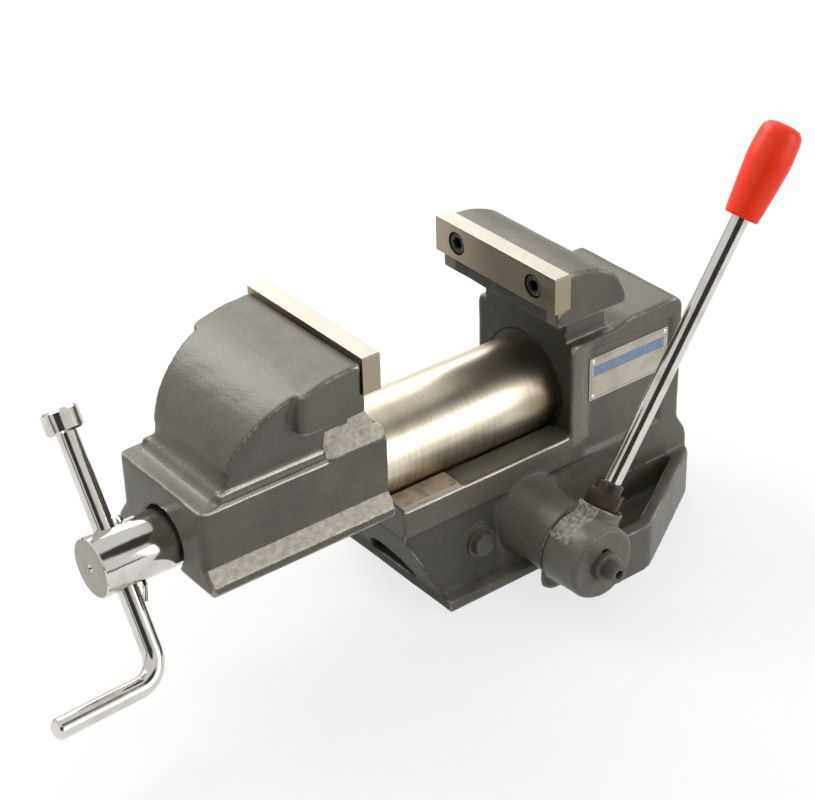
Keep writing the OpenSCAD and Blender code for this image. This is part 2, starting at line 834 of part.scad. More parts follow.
// Hood whose sides lean out from the plinth
module hood() {
    slab = 0.1;
    intersection() {
        hull() {
            translate([0, 0, plinth_top - past]) linear_extrude(slab)
                translate([-hood_w / 2, seat_y - hood_len]) square([hood_w, hood_len]);
            translate([0, 0, hood_top]) linear_extrude(slab) hood_plan();
        }
        wide(head_w) hood_side(plinth_top - past);
    }
}

// Wide head behind the front plate, with a ledge under the plate
module front_head() {
    y = seat_y - front_head_depth;
    intersection() {
        wide(head_w) hood_side(plinth_top - past);
        translate([0, 0, head_z]) linear_extrude(head_h) polygon(rounded([
            [-head_w / 2, y, 5], [head_w / 2, y, 5], [head_w / 2, seat_y, 0], [-head_w / 2, seat_y, 0]]));
    }
    block([-head_w / 2, seat_y - past, head_z], [head_w / 2, seat_y + front_ledge, plate_z]);
}

// Box round the tube, its upright front edges rounded
module front_box() {
    intersection() {
        long(box_y0, box_y1) polygon(rounded([
            [-box_w / 2, box_under, 0], [box_w / 2, box_under, 0],
            [box_w / 2, box_top, 2], [-box_w / 2, box_top, 2]]));
        translate([0, 0, box_under]) linear_extrude(box_top - box_under) polygon(rounded([
            [-box_w / 2, box_y0, box_round], [box_w / 2, box_y0, box_round],
            [box_w / 2, box_y1, 0], [-box_w / 2, box_y1, 0]]));
    }
}

// Rough sloping pad left between the hood and the edge of the box, on the right side
module rough_pad() {
    x0 = hood_w / 2 - 4;
    x1 = box_w / 2 - 0.1;
    y0 = seat_y - rough_pad_len;
    y1 = box_y1 - 3;
    intersection() {
        long(y0, y1) polygon([[x0, box_top - past], [x1, box_top - past], [x1, box_top],
            [x1 - past, box_top + 2], [hood_w / 2 - past, plinth_top + rough_pad_rise],
            [x0, plinth_top + rough_pad_rise]]);
        linear_extrude(jaw_top) polygon([[x0, y0], [x1 - 3, y0], [x1, y0 + 4], [x1, y1],
            [x0, y1 - rough_pad_back]]);
    }
}

module front_solid() {
    front_box();
    mirrored() long(box_y0, box_y1) polygon(rounded([
        [box_w / 2 - 4, tube_z + 2, 0], [box_w / 2, tube_z, 3], [flange_w / 2, tube_z - flange_drop, 2],
        [flange_w / 2, box_under, 1.5], [box_w / 2 - 4, box_under, 0]]));
    long(box_y0 + 16, box_y1) polygon(both_sides([[plinth_w / 2 + 2, box_top - past],
        [plinth_w / 2 + 0.5, box_top + 1], [plinth_w / 2, box_top + 3], [plinth_w / 2 - 0.6, plinth_top]]));
    hood();
    front_head();
    mirrored() rough_pad();
}

module front_jaw_casting() {
    color(cast_grey) difference() {
        front_solid();
        rod_y(wall_y, box_y1 + past, tube_r + run);
        rod_y(box_y0 - past, wall_y + past, mouth_r);
        block([-key_half - seat, jaw_key_y - seat, tube_z],
            [key_half + seat, jaw_key_y + jaw_key_len + seat, tube_z + tube_r + 6]);
        screw_holes(plate_y, -1);
    }
}

module front_jaw_plate() {
    color(ground_steel) plate(plate_y, -1);
}

module front_jaw_screws() {
    color(black_steel) plate_screws(plate_y, -1);
}

module jaw_key() {
    color(bright_steel) block([-key_half, jaw_key_y, tube_z + tube_r - key_depth + 1],
        [key_half, jaw_key_y + jaw_key_len, tube_z + tube_r + 6]);
}

module spindle_bush() {
    color(bronze) difference() {
        rod_y(shoulder_y + thrust_t + 0.1, wall_y, mouth_r - seat);
        rod_y(box_y0, wall_y + past, journal_r + run);
    }
}

module spindle() {
    bevel = 1;
    color(bright_steel) difference() {
        translate([0, 0, tube_z]) rotate([-90, 0, 0]) rotate_extrude() polygon([
            [0, spindle_y0], [spindle_r - bevel, spindle_y0], [spindle_r, spindle_y0 + bevel],
            [spindle_r, shoulder_y], [journal_r, shoulder_y], [journal_r, collar_y + collar_len],
            [thread_r, collar_y + collar_len], [thread_r, thread_end - 2], [thread_r - 2, thread_end],
            [0, thread_end]]);
        // Lathe centre in the face
        translate([0, spindle_y0 - past, tube_z]) rotate([-90, 0, 0])
            cylinder(h = 5, r1 = 4, r2 = 0.5);
        along_bar() {
            translate([0, 0, -spindle_d]) cylinder(h = 2 * spindle_d, r = bar_r + run);
            block([-spring_w / 2 - 0.2, 0, -spindle_d],
                [spring_w / 2 + 0.2, bar_r + spring_off + spring_t + 0.1, spindle_d]);
        }
    }
}

module thrust_washer() {
    color(bronze) difference() {
        rod_y(shoulder_y + 0.05, shoulder_y + thrust_t, spindle_r - 0.5);
        rod_y(shoulder_y - past, shoulder_y + thrust_t + past, journal_r + run);
    }
}

module retaining_collar() {
    color(bright_steel) difference() {
        rod_y(collar_y, collar_y + collar_len - 0.2, mouth_r + 2);
        rod_y(collar_y - past, collar_y + collar_len + past, journal_r + seat);
    }
}

// Leaf spring that keeps the crank bar from dropping
module handle_spring() {
    half = spindle_r + 1;
    y0 = bar_r + spring_off;
    color(bright_steel) along_bar() {
        block([-spring_w / 2, y0, -half], [spring_w / 2, y0 + spring_t, half]);
        for (end = [-1, 1]) translate([0, y0, end * half]) rotate([end * spring_lean, 0, 0])
            block([-spring_w / 2, 0, end > 0 ? -0.3 : -spring_tab],
                [spring_w / 2, spring_t, end > 0 ? spring_lip : 0.3]);
    }
}

// Bar with its bend and grip leg
module crank_bar() {
    bevel = 1.5;
    color(bright_steel) along_bar() rotate([0, 0, leg_lean]) {
        translate([0, 0, -bar_down + bend_r]) cylinder(h = bar_down - bend_r + bar_up + 6, r = bar_r);
        translate([0, -bend_r, -bar_down + bend_r]) rotate([0, 90, 0])
            rotate_extrude(angle = 90) translate([bend_r, 0]) circle(r = bar_r);
        translate([0, -bend_r, -bar_down]) rotate([90, 0, 0])
            cylinder(h = leg_len - bend_r - bevel, r = bar_r);
        translate([0, -leg_len + bevel, -bar_down]) rotate([90, 0, 0])
            cylinder(h = bevel, r1 = bar_r, r2 = bar_r - bevel);
    }
}

module crank_cap() {
    bevel = 1.5;
    color(bright_steel) along_bar() translate([0, 0, bar_up]) difference() {
        rotate_extrude() polygon([[0, 0], [cap_d / 2 - bevel, 0], [cap_d / 2, bevel],
            [cap_d / 2, cap_h - bevel], [cap_d / 2 - bevel, cap_h], [0, cap_h]]);
        translate([0, 0, -past]) cylinder(h = past + 6.2, r = bar_r + seat);
    }
}

// Shaft with the eccentric between its two journals
module cam_shaft() {
    left = -left_boss_x - ring_t - 1.5;
    color(bright_steel) difference() {
        union() {
            rod_x(left, -cam_half, shaft_r, shaft_y, shaft_z);
            rod_x(-cam_half - past, cam_half + past, cam_r, shaft_y + cam_throw * cos(cam_start),
                shaft_z + cam_throw * sin(cam_start));
            rod_x(cam_half, hub_x0, shaft_r, shaft_y, shaft_z);
            rod_x(hub_x0 - past, hub_x1 - 3, hub_seat_r, shaft_y, shaft_z);
        }
        difference() {
            rod_x(left + 1, left + 1 + ring_t, shaft_r + past, shaft_y, shaft_z);
            rod_x(left, left + 2 + ring_t, shaft_r - 1.5, shaft_y, shaft_z);
        }
        rod_x(hub_x1 - hub_bolt_grip - 2, hub_x1, hub_bolt_r + 0.1, shaft_y, shaft_z);
        hub_key_way(seat, 0);
    }
}

// Key between shaft and hub, on the side away from the lever
module hub_key_way(play, over) {
    translate([hub_x1 - 3 - key_len - play, shaft_y, shaft_z]) rotate([lever_angle - 60, 0, 0])
        translate([0, -key_w / 2 - play, hub_seat_r - key_w / 2 - play])
            cube([key_len + 2 * play + over, key_w + 2 * play, key_w + 2 * play]);
}

module hub_key() {
    color(black_steel) hub_key_way(0, 0);
}

module shaft_ring() {
    x = -left_boss_x - ring_t - 0.5;
    color(black_steel) difference() {
        rod_x(x + 0.1, x + ring_t - 0.1, ring_r, shaft_y, shaft_z);
        rod_x(x - past, x + ring_t + past, shaft_r - 1.5 + seat, shaft_y, shaft_z);
    }
}

module lever_hub() {
    color(cast_grey) difference() {
        union() {
            turned_x([[0, hub_x0], [boss_end_r - 1, hub_x0], [boss_end_r, hub_x0 + 1],
                [hub_face_r + 2.6, hub_x1 - 4], [hub_face_r + 1.6, hub_x1 - 1.4],
                [hub_face_r, hub_x1], [0, hub_x1]]);
            difference() {
                along_lever() cylinder(h = socket_len, r = socket_r);
                block([hub_x0 - 2 * socket_r, shaft_y - 2 * socket_len, shaft_z - 2 * socket_len],
                    [hub_x0, shaft_y + 2 * socket_len, shaft_z + 2 * socket_len]);
            }
        }
        rod_x(hub_x0 - past, hub_x1 + past, hub_seat_r + seat, shaft_y, shaft_z);
        along_lever() {
            translate([0, 0, rod_root]) cylinder(h = socket_len, r = rod_r + seat);
            translate([0, 0, socket_len - socket_sink]) cylinder(h = socket_sink + past, r = jam_r + apart);
        }
        hub_key_way(seat, 3 + past);
    }
}

module hub_washer() {
    color(cast_grey) difference() {
        turned_x([[0, hub_x1], [collar_r, hub_x1], [collar_r, hub_x1 + collar_t - 1],
            [collar_r - 1, hub_x1 + collar_t], [0, hub_x1 + collar_t]]);
        rod_x(hub_x1 - past, hub_x1 + collar_t + past, hub_bolt_r + 0.3, shaft_y, shaft_z);
    }
}

module hub_bolt() {
    x = hub_x1 + collar_t;
    color(black_steel) difference() {
        union() {
            rod_x(hub_x1 - hub_bolt_grip, x + past, hub_bolt_r, shaft_y, shaft_z);
            rod_x(x, x + hub_bolt_head_h, hub_bolt_head_r, shaft_y, shaft_z);
        }
        translate([x + hub_bolt_head_h / 2, shaft_y, shaft_z]) rotate([0, 90, 0])
            cylinder(h = hub_bolt_head_h, r = 0.9 * hub_bolt_r, $fn = 6);
    }
}

module lever_rod() {
    color(bright_steel) along_lever() translate([0, 0, rod_root])
        cylinder(h = grip_start + grip_len - grip_wall - rod_root, r = rod_r);
}

module lever_jam_nut() {
    color(bronze) along_lever() translate([0, 0, socket_len - socket_sink]) difference() {
        union() {
            cylinder(h = jam_h, r = jam_r, $fn = 6);
            cylinder(h = jam_h + jam_collar_h - 1, r = jam_collar_r);
            translate([0, 0, jam_h + jam_collar_h - 1])
                cylinder(h = 1, r1 = jam_collar_r, r2 = jam_collar_r - 1);
        }
        translate([0, 0, -past]) cylinder(h = jam_h + jam_collar_h + 2 * past, r = rod_r + seat);
    }
}

module lever_grip() {
    swell = [[0, 0], [0.715, 0], [0.766, 0.012], [0.82, 0.12], [0.92, 0.37], [1, 0.6], [1, 0.69],
        [0.95, 0.87], [0.885, 0.935], [0.74, 0.98], [0.52, 0.997], [0, 1]];
    color(grip_red) along_lever() translate([0, 0, grip_start]) difference() {
        rotate_extrude() polygon([for (p = swell) [p[0] * grip_r, p[1] * grip_len]]);
        translate([0, 0, -past]) cylinder(h = past + grip_len - grip_wall, r = rod_r + seat);
    }
}

module clamp_rocker() {
    color(cast_grey) lowered() difference() {
        union() {
            rod_x(-rocker_w / 2, rocker_w / 2, rocker_hub_r, pivot_y, pivot_z);
            wide(rocker_w) polygon([[pivot_y, pivot_z + 2], [pivot_y + rocker_root, pivot_z],
                [pad_y0 - rocker_knee, rocker_under], [pad_y1, rocker_under], [pad_y1, rocker_top],
                [pad_y0, rocker_top], [pivot_y - rocker_nape, pivot_z + rocker_hub_r - 1]]);
        }
        rod_x(-rocker_w, rocker_w, rocker_bush_r, pivot_y, pivot_z);
        pad_screw_set(pad_screw_r + 0.1, rocker_top - pad_screw_hole, rocker_top + past);
    }
}

module rocker_bush() {
    color(bronze) lowered() difference() {
        rod_x(-rocker_w / 2, rocker_w / 2, rocker_bush_r - seat, pivot_y, pivot_z);
        rod_x(-rocker_w, rocker_w, pivot_r + run, pivot_y, pivot_z);
    }
}

// Places of the two screws that hold the pad on the rocker
module pad_screw_set(r, z0, z1) {
    for (y = [pad_y0 + pad_screw_in, pad_y1 - pad_screw_in])
        translate([0, y, z0]) cylinder(h = z1 - z0, r = r);
}

module clamp_pad() {
    groove = key_half + 1.5;
    color(bronze) lowered() difference() {
        block([-rocker_w / 2, pad_y0, rocker_top], [rocker_w / 2, pad_y1, pad_top]);
        rod_y(pad_y0 - past, pad_y1 + past, tube_r + apart);
        block([-groove, pad_y0 - past, rocker_top + pad_seat], [groove, pad_y1 + past, tube_z]);
        pad_screw_set(pad_screw_r + 0.1, rocker_top - past, rocker_top + pad_seat + 1);
    }
}

module clamp_pad_screws() {
    color(black_steel) lowered() {
        pad_screw_set(pad_screw_r, rocker_top - pad_screw_grip, rocker_top + pad_seat);
        pad_screw_set(pad_head_r, rocker_top + pad_seat, rocker_top + pad_seat + pad_head_h);
    }
}

body_casting();
fixed_jaw_plate();
fixed_jaw_screws();
tube_bushes();
tube_wiper();
guide_key();
nameplate();
nameplate_rivets();
shaft_bushes();
shaft_cap();
shaft_cap_screws();
pivot_bolt();
pivot_washer();
pivot_nut();
slide_tube();
feed_nut();
feed_nut_pins();
tube_end_cap();
front_jaw_casting();
front_jaw_plate();
front_jaw_screws();
jaw_key();
spindle_bush();
spindle();
thrust_washer();
retaining_collar();
handle_spring();
crank_bar();
crank_cap();
cam_shaft();
hub_key();
shaft_ring();
lever_hub();
hub_washer();
hub_bolt();
lever_rod();
lever_jam_nut();
lever_grip();
clamp_rocker();
rocker_bush();
clamp_pad();
clamp_pad_screws();
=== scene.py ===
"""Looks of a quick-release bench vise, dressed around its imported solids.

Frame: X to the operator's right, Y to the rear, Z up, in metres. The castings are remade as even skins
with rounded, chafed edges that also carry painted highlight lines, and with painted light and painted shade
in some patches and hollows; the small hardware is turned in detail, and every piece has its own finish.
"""

from __future__ import annotations

import json
import logging
import math
from dataclasses import dataclass, replace
from enum import Enum
from typing import Any, Sequence, Union

import bmesh
import bpy
import numpy as np
from bpy.types import Material, Mesh, Node, NodeSocket as Socket, NodeTree, Object
from mathutils import Matrix, Vector

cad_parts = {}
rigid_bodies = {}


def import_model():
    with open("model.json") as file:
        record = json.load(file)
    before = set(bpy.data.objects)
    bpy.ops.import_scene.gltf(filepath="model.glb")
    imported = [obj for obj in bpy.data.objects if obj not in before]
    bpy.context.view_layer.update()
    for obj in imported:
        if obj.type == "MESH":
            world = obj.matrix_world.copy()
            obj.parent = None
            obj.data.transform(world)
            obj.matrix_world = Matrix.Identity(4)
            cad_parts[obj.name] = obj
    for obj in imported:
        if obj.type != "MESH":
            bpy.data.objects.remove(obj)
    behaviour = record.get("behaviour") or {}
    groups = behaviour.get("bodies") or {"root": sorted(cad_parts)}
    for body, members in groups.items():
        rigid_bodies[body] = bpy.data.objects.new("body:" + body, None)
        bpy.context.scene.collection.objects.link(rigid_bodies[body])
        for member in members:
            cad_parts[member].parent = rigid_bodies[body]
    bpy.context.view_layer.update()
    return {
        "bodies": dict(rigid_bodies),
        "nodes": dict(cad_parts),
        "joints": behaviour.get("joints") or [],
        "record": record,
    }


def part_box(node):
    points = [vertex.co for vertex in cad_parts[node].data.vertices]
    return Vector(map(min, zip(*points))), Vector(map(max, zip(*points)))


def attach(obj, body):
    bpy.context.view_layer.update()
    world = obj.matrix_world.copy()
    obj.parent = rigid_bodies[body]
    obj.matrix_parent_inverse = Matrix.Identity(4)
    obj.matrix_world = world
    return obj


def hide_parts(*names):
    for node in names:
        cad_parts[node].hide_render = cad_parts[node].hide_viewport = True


LOG = logging.getLogger("bench_vise")
MM = 0.001
JOIN = 0.001 * MM
TINY = 1e-9
KNURL_FLOOR = 0.965

Colour = tuple[float, float, float, float]
Point = tuple[float, float, float]
Span = tuple[float, float]
Feed = Union[Socket, float, Sequence[float]]

UPWARD: Point = (0, 0, 1)
OUTWARD: Point = (1, 0, 0)
FORWARD: Point = (0, -1, 0)


def srgb(red: int, green: int, blue: int) -> Colour:
    """Turn a colour as seen on a screen into the light that a shader works with.

    Args:
        red: Red from 0 to 255.
        green: Green from 0 to 255.
        blue: Blue from 0 to 255.

    Returns:
        The linear colour, opaque.
    """
    shares = [channel / 255 for channel in (red, green, blue)]
    linear = [s / 12.92 if s <= 0.04045 else ((s + 0.055) / 1.055) ** 2.4 for s in shares]
    return (linear[0], linear[1], linear[2], 1.0)


def around(middle: float, half: float) -> Span:
    """Span of a given half width about a middle."""
    return (middle - half, middle + half)


class Finish(Enum):
    """Finishes of the vise. Each starts with the name of its material slot in the record."""

    CASTING = "casting"
    GROUND = "ground_steel"
    PLATE = "ground_steel.plate"
    BRIGHT = "bright_steel"
    SCREW = "bright_steel.screw"
    BLACK = "black_steel"
    PAINTED = "black_steel.painted"
    BRONZE = "bronze"
    WORN = "worn_steel"
    RUBBER = "wiper_rubber"
    GRIP = "grip_plastic"
    LABEL = "label"

    @property
    def slot(self) -> str:
        """Material slot of the finish in the record."""
        return self.value.partition(".")[0]


class Axis(Enum):
    """Axes of the frame, as the index of a coordinate."""

    X = 0
    Y = 1
    Z = 2


class Mark(Enum):
    """Point attributes that a casting's skin carries for its paint."""

    # Edges: chafed paint, and painted highlight lines.
    EDGE = "worn_edge"
    # Hollows and shaded patches: painted shade, partly real filth.
    HOLLOW = "hollow"
    BARE = "bare_skin"
    RUBBED = "rubbed_pad"
    # Lit patches: painted light.
    FADED = "faded_paint"


class Wiring:
    """Node tree, with short calls for the nodes that the trees of this scene share."""

    def __init__(self, tree: NodeTree) -> None:
        """Start with an empty tree."""
        self.tree = tree
        tree.nodes.clear()

    def feed(self, socket: Socket, value: Feed) -> None:
        """Link an input to a socket, or set it to a value.

        Args:
            socket: The input.
            value: Socket or value.
        """
        if isinstance(value, Socket):
            self.tree.links.new(value, socket)
        else:
            socket.default_value = value

    def node(self, kind: str, inputs: dict | None = None, **settings: Any) -> Node:
        """Add a node.

        Args:
            kind: Type name of the node.
            inputs: Values or sockets for its inputs, by name or number.
            **settings: Properties of the node.

        Returns:
            The node.
        """
        made = self.tree.nodes.new(kind)
        for name, value in settings.items():
            setattr(made, name, value)
        for key, value in (inputs or {}).items():
            self.feed(made.inputs[key], value)
        return made

    def axes(self, place: Socket) -> bpy.types.bpy_prop_collection:
        """Sockets of a place's coordinates, by their names X, Y and Z."""
        return self.node("ShaderNodeSeparateXYZ", {0: place}).outputs

    def math(self, work: str, first: Feed, second: Feed) -> Socket:
        """Join two numbers or sockets by a named operation."""
        return self.node("ShaderNodeMath", {0: first, 1: second}, operation=work).outputs["Value"]

    def times(self, first: Feed, second: Feed) -> Socket:
        """Product of two numbers or sockets."""
        return self.math("MULTIPLY", first, second)

    def within(self, value: Socket, low: float, high: float) -> Socket:
        """1 where a value lies between two limits, or else 0."""
        return self.times(self.math("GREATER_THAN", value, low), self.math("LESS_THAN", value, high))

    def span(self, value: Socket, low: float, high: float) -> Socket:
        """Rise smoothly from 0 at low to 1 at high."""
        inputs = {"Value": value, "From Min": low, "From Max": high}
        return self.node("ShaderNodeMapRange", inputs, interpolation_type="SMOOTHSTEP").outputs["Result"]

    def between(self, share: Socket, low: float, high: float) -> Socket:
        """Number between low and high, by a share from 0 to 1."""
        inputs = {"Value": share, "To Min": low, "To Max": high}
        return self.node("ShaderNodeMapRange", inputs).outputs["Result"]


class Graph(Wiring):
    """Node tree of one material, with short calls for what the finishes share."""

    def __init__(self, name: str) -> None:
        """Start a material that has one shader.

        Args:
            name: Name of the material.
        """
        self.material = bpy.data.materials.new(name)
        self.material.use_nodes = True
        super().__init__(self.material.node_tree)
        self.shader = self.node("ShaderNodeBsdfPrincipled")
        self.node("ShaderNodeOutputMaterial", {"Surface": self.shader.outputs["BSDF"]})
        self.place = self.node("ShaderNodeTexCoord").outputs["Object"]
        self.relief = None

    def put(self, socket: str, value: Feed) -> None:
        """Set or link one of the shader's inputs."""
        self.feed(self.shader.inputs[socket], value)

    def noise(self, scale: float, detail: float = 3.0, stretch: Point = (1, 1, 1),
              rough: float = 0.5) -> Socket:
        """Soft noise.

        Args:
            scale: Patches in a metre.
            detail: Number of finer layers.
            stretch: Extra scale along each axis.
            rough: Strength of the finer layers.

        Returns:
            Socket of the noise from 0 to 1.
        """
        place = self.node("ShaderNodeMapping", {"Vector": self.place, "Scale": stretch}).outputs["Vector"]
        inputs = {"Vector": place, "Scale": scale, "Detail": detail, "Roughness": rough}
        return self.node("ShaderNodeTexNoise", inputs).outputs["Fac"]

    def mark(self, mark: Mark) -> Socket:
        """Socket of a point attribute of the skin."""
        return self.node("ShaderNodeAttribute", attribute_name=mark.value).outputs["Fac"]

    def frayed(self, mark: Mark, scale: float, detail: float, reach: float) -> Socket:
        """Point attribute whose border is frayed by a noise that reaches so far to both sides."""
        return self.math("ADD", self.mark(mark), self.between(self.noise(scale, detail), -reach, reach))

    def blend(self, share: Feed, first: Feed, second: Feed) -> Socket:
        """Colour between first and second, by a share from 0 to 1."""
        return self.node("ShaderNodeMix", {0: share, 6: first, 7: second}, data_type="RGBA").outputs[2]

    def shift(self, share: Feed, first: Feed, second: Feed) -> Socket:
        """Number between two numbers or sockets, by a share from 0 to 1."""
        return self.node("ShaderNodeMix", {0: share, 2: first, 3: second}, data_type="FLOAT").outputs[0]

    def emboss(self, height: Socket, depth: float, strength: float) -> None:
        """Lay a relief over the surface.

        Args:
            height: Socket of the relief from 0 to 1.
            depth: Height of the relief in metres.
            strength: Share of the relief that shows.
        """
        inputs = {"Height": height, "Distance": depth, "Strength": strength}
        if self.relief is not None:
            inputs["Normal"] = self.relief
        self.relief = self.node("ShaderNodeBump", inputs).outputs["Normal"]
        self.put("Normal", self.relief)


@dataclass(frozen=True)
class CastPaint:
    """Grey enamel over a sand casting, chafed through on the edges and left bare on rough stock. The edges
    also carry painted highlight lines, lit patches carry painted light, and hollows and shaded patches carry
    painted shade, partly real filth.
    """

    name: str = "casting_enamel"
    deep: Colour = srgb(92, 88, 78)
    light: Colour = srgb(107, 102, 90)
    # Lighter tone that lit patches turn towards, as painted light.
    painted_light_tone: Colour = srgb(158, 153, 140)
    # Dark of the specks, and of the painted shade in hollows and shaded patches.
    grime_and_shade_tone: Colour = srgb(38, 36, 32)
    # Bare metal of chafed edges, light enough to stand in for their painted highlights too.
    iron_and_highlight: Colour = srgb(198, 192, 178)
    skin_pale: Colour = srgb(224, 217, 203)
    skin_dark: Colour = srgb(166, 159, 147)
    pad_tan: Colour = srgb(186, 168, 144)
    pad_brown: Colour = srgb(138, 122, 102)
    satin: Span = (0.33, 0.45)
    bare_dull: float = 0.75
    edge_dull: float = 0.34

    def make(self) -> Material:
        """Build the enamel, its chafed edges with their painted highlights, its painted light and shade, and
        the bare stock.

        Returns:
            The material.
        """
        g = Graph(self.name)
        broad = g.noise(26)
        paint = g.blend(g.span(broad, 0.3, 0.7), self.deep, self.light)
        # Painted light: lit patches turn lighter.
        paint = g.blend(g.times(g.mark(Mark.FADED), 0.8), paint, self.painted_light_tone)
        specks = g.between(g.span(g.noise(900, 2), 0.35, 0.75), 0.0, 0.4)
        paint = g.blend(specks, paint, self.grime_and_shade_tone)
        # Painted shade, partly real filth, in hollows and shaded patches.
        hollow = g.times(g.mark(Mark.HOLLOW), g.between(g.noise(140), 0.6, 1.0))
        paint = g.blend(hollow, paint, self.grime_and_shade_tone)

        bare = g.span(g.frayed(Mark.BARE, 420, 4, 0.3), 0.3, 0.7)
        pits = g.span(g.noise(330, 6, stretch=(1, 0.55, 1), rough=0.7), 0.15, 0.75)
        colour = g.blend(bare, paint, g.blend(pits, self.skin_dark, self.skin_pale))

        rubbed = g.span(g.frayed(Mark.RUBBED, 120, 3, 0.35), 0.35, 0.6)
        stains = g.span(g.noise(130, 5, rough=0.65), 0.4, 0.7)
        colour = g.blend(rubbed, colour, g.blend(stains, self.pad_tan, self.pad_brown))

        # Edge lines: chafed paint and painted highlight.
        breaks = g.between(g.noise(34, 2), -0.38, 0.22)
        edge = g.span(g.math("ADD", g.frayed(Mark.EDGE, 240, 3, 0.14), breaks), 0.4, 0.8)
        g.put("Base Color", g.blend(edge, colour, self.iron_and_highlight))
        g.put("Metallic", g.times(edge, 0.4))
        dull = g.between(broad, *self.satin)
        dull = g.shift(g.math("MAXIMUM", bare, hollow), dull, self.bare_dull)
        g.put("Roughness", g.shift(edge, dull, self.edge_dull))
        g.put("Specular IOR Level", 0.5)
        g.emboss(g.noise(420, 2), 0.35 * MM, 0.4)
        g.emboss(g.noise(1500, 2), 0.12 * MM, 0.5)
        g.emboss(g.times(pits, bare), 0.4 * MM, 0.7)
        return g.material


@dataclass(frozen=True)
class GroundSteel:
    """Ground steel with fine grinding lines across one axis and a brown bloom.

    A plate's ends and top take lighter tones as painted light, past the places that mark them, and it grows
    lighter towards its left.
    A tube is darkened, by sooty stains and by painted shade, in a ring at the mouth of its bore and on its
    low side.
    """

    name: str
    steel: Colour
    warm: Colour
    stain: Colour
    lines: Point
    bloom: Point = (9, 16, 9)
    dull: Span = (0.24, 0.36)
    lighter_tone: Colour | None = None
    painted_top_light: Colour = srgb(178, 174, 165)
    lighter_from: Span = (0.0, 0.0)
    left_span: Span = (-0.005, 0.075)
    soot_and_shade: Colour | None = None
    ring_from: Span = (-0.022, 0.024)
    ring_to: Span = (0.03, 0.07)
    low_side: Span = (0.112, 0.088)

    def make(self) -> Material:
        """Build the steel, its grinding lines and its stains.

        Returns:
            The material.
        """
        g = Graph(self.name)
        lines = g.noise(1, 4, stretch=self.lines, rough=0.7)
        bloom = g.noise(1, 4, stretch=self.bloom)
        steel = g.blend(g.span(lines, 0.25, 0.6), self.warm, self.steel)
        steel = g.blend(g.between(g.span(bloom, 0.5, 0.75), 0.0, 0.45), steel, self.stain)
        if self.lighter_tone:
            steel = self.rubbed(g, steel)
        if self.soot_and_shade:
            steel = g.blend(self.soot_and_shade_share(g, lines, bloom), steel, self.soot_and_shade)
        specks = g.times(g.span(g.noise(600, 2), 0.66, 0.74), 0.35)
        g.put("Base Color", g.blend(specks, steel, self.stain))
        g.put("Metallic", 1.0)
        g.put("Roughness", g.math("ADD", g.between(lines, *self.dull), g.between(bloom, 0.0, 0.08)))
        g.emboss(lines, 0.05 * MM, 0.35)
        return g.material

    def rubbed(self, g: Graph, steel: Socket) -> Socket:
        """Make a plate lighter on its left, and lighter at its ends and along its top as painted light.

        Args:
            g: Graph of the material.
            steel: Socket of the colour so far.

        Returns:
            Socket of the new colour.
        """
        axes = g.axes(g.place)
        end = g.math("GREATER_THAN", g.math("ABSOLUTE", axes["X"], 0), self.lighter_from[0])
        top = g.math("GREATER_THAN", axes["Z"], self.lighter_from[1])
        left = g.span(g.times(axes["X"], -1), *self.left_span)
        # Lighter towards the left; lighter at the ends as painted light.
        partial_share = g.math("MAXIMUM", g.times(left, 0.6), g.times(end, 0.55))
        # The top takes its own lighter tone as painted light.
        return g.blend(g.times(top, 0.9), g.blend(partial_share, steel, self.lighter_tone), self.painted_top_light)

    def soot_and_shade_share(self, g: Graph, lines: Socket, bloom: Socket) -> Socket:
        """Darken a tube at the mouth of its bore and on its low side, with sooty stains and painted shade.

        Args:
            g: Graph of the material.
            lines: Socket of the grinding lines.
            bloom: Socket of the bloom.

        Returns:
            Socket of the share of sooty stain and painted shade.
        """
        axes = g.axes(g.place)
        # Ring at the bore mouth and the low side: sooty stains and painted shade.
        ring = g.between(g.span(axes["Y"], *self.ring_to), 1, 0)
        ring = g.times(g.span(axes["Y"], *self.ring_from), ring)
        under = g.span(g.times(axes["Z"], -1), -self.low_side[0], -self.low_side[1])
        under = g.times(under, g.between(g.span(lines, 0.3, 0.6), 0.75, 0.25))
        patchy = g.between(g.span(bloom, 0.3, 0.65), 0.55, 0.95)
        return g.times(g.math("MAXIMUM", ring, under), patchy)


@dataclass(frozen=True)
class BrightSteel:
    """Plated bars and screw, bright, with fine polishing lines, faint smudges and a duller end face."""

    name: str = "bright_plate"
    plate: Colour = srgb(218, 215, 209)
    shade: Colour = srgb(190, 184, 174)
    face: Colour = srgb(158, 153, 145)
    face_y: float = -1.0
    face_dull: float = 0.34

    def make(self) -> Material:
        """Build the plating and its smudges.

        Returns:
            The material.
        """
        g = Graph(self.name)
        smudge = g.noise(45, 4)
        fine = g.noise(700, 3, stretch=(1, 0.2, 1))
        face = g.math("LESS_THAN", g.axes(g.place)["Y"], self.face_y)
        plate = g.blend(g.span(smudge, 0.45, 0.75), self.plate, self.shade)
        g.put("Base Color", g.blend(face, plate, self.face))
        g.put("Metallic", 1.0)
        dull = g.math("ADD", g.between(smudge, 0.05, 0.12), g.between(fine, 0.0, 0.05))
        g.put("Roughness", g.shift(face, dull, self.face_dull))
        g.emboss(g.noise(70, 2), 0.5 * MM, 0.3)
        g.emboss(fine, 0.02 * MM, 0.3)
        return g.material


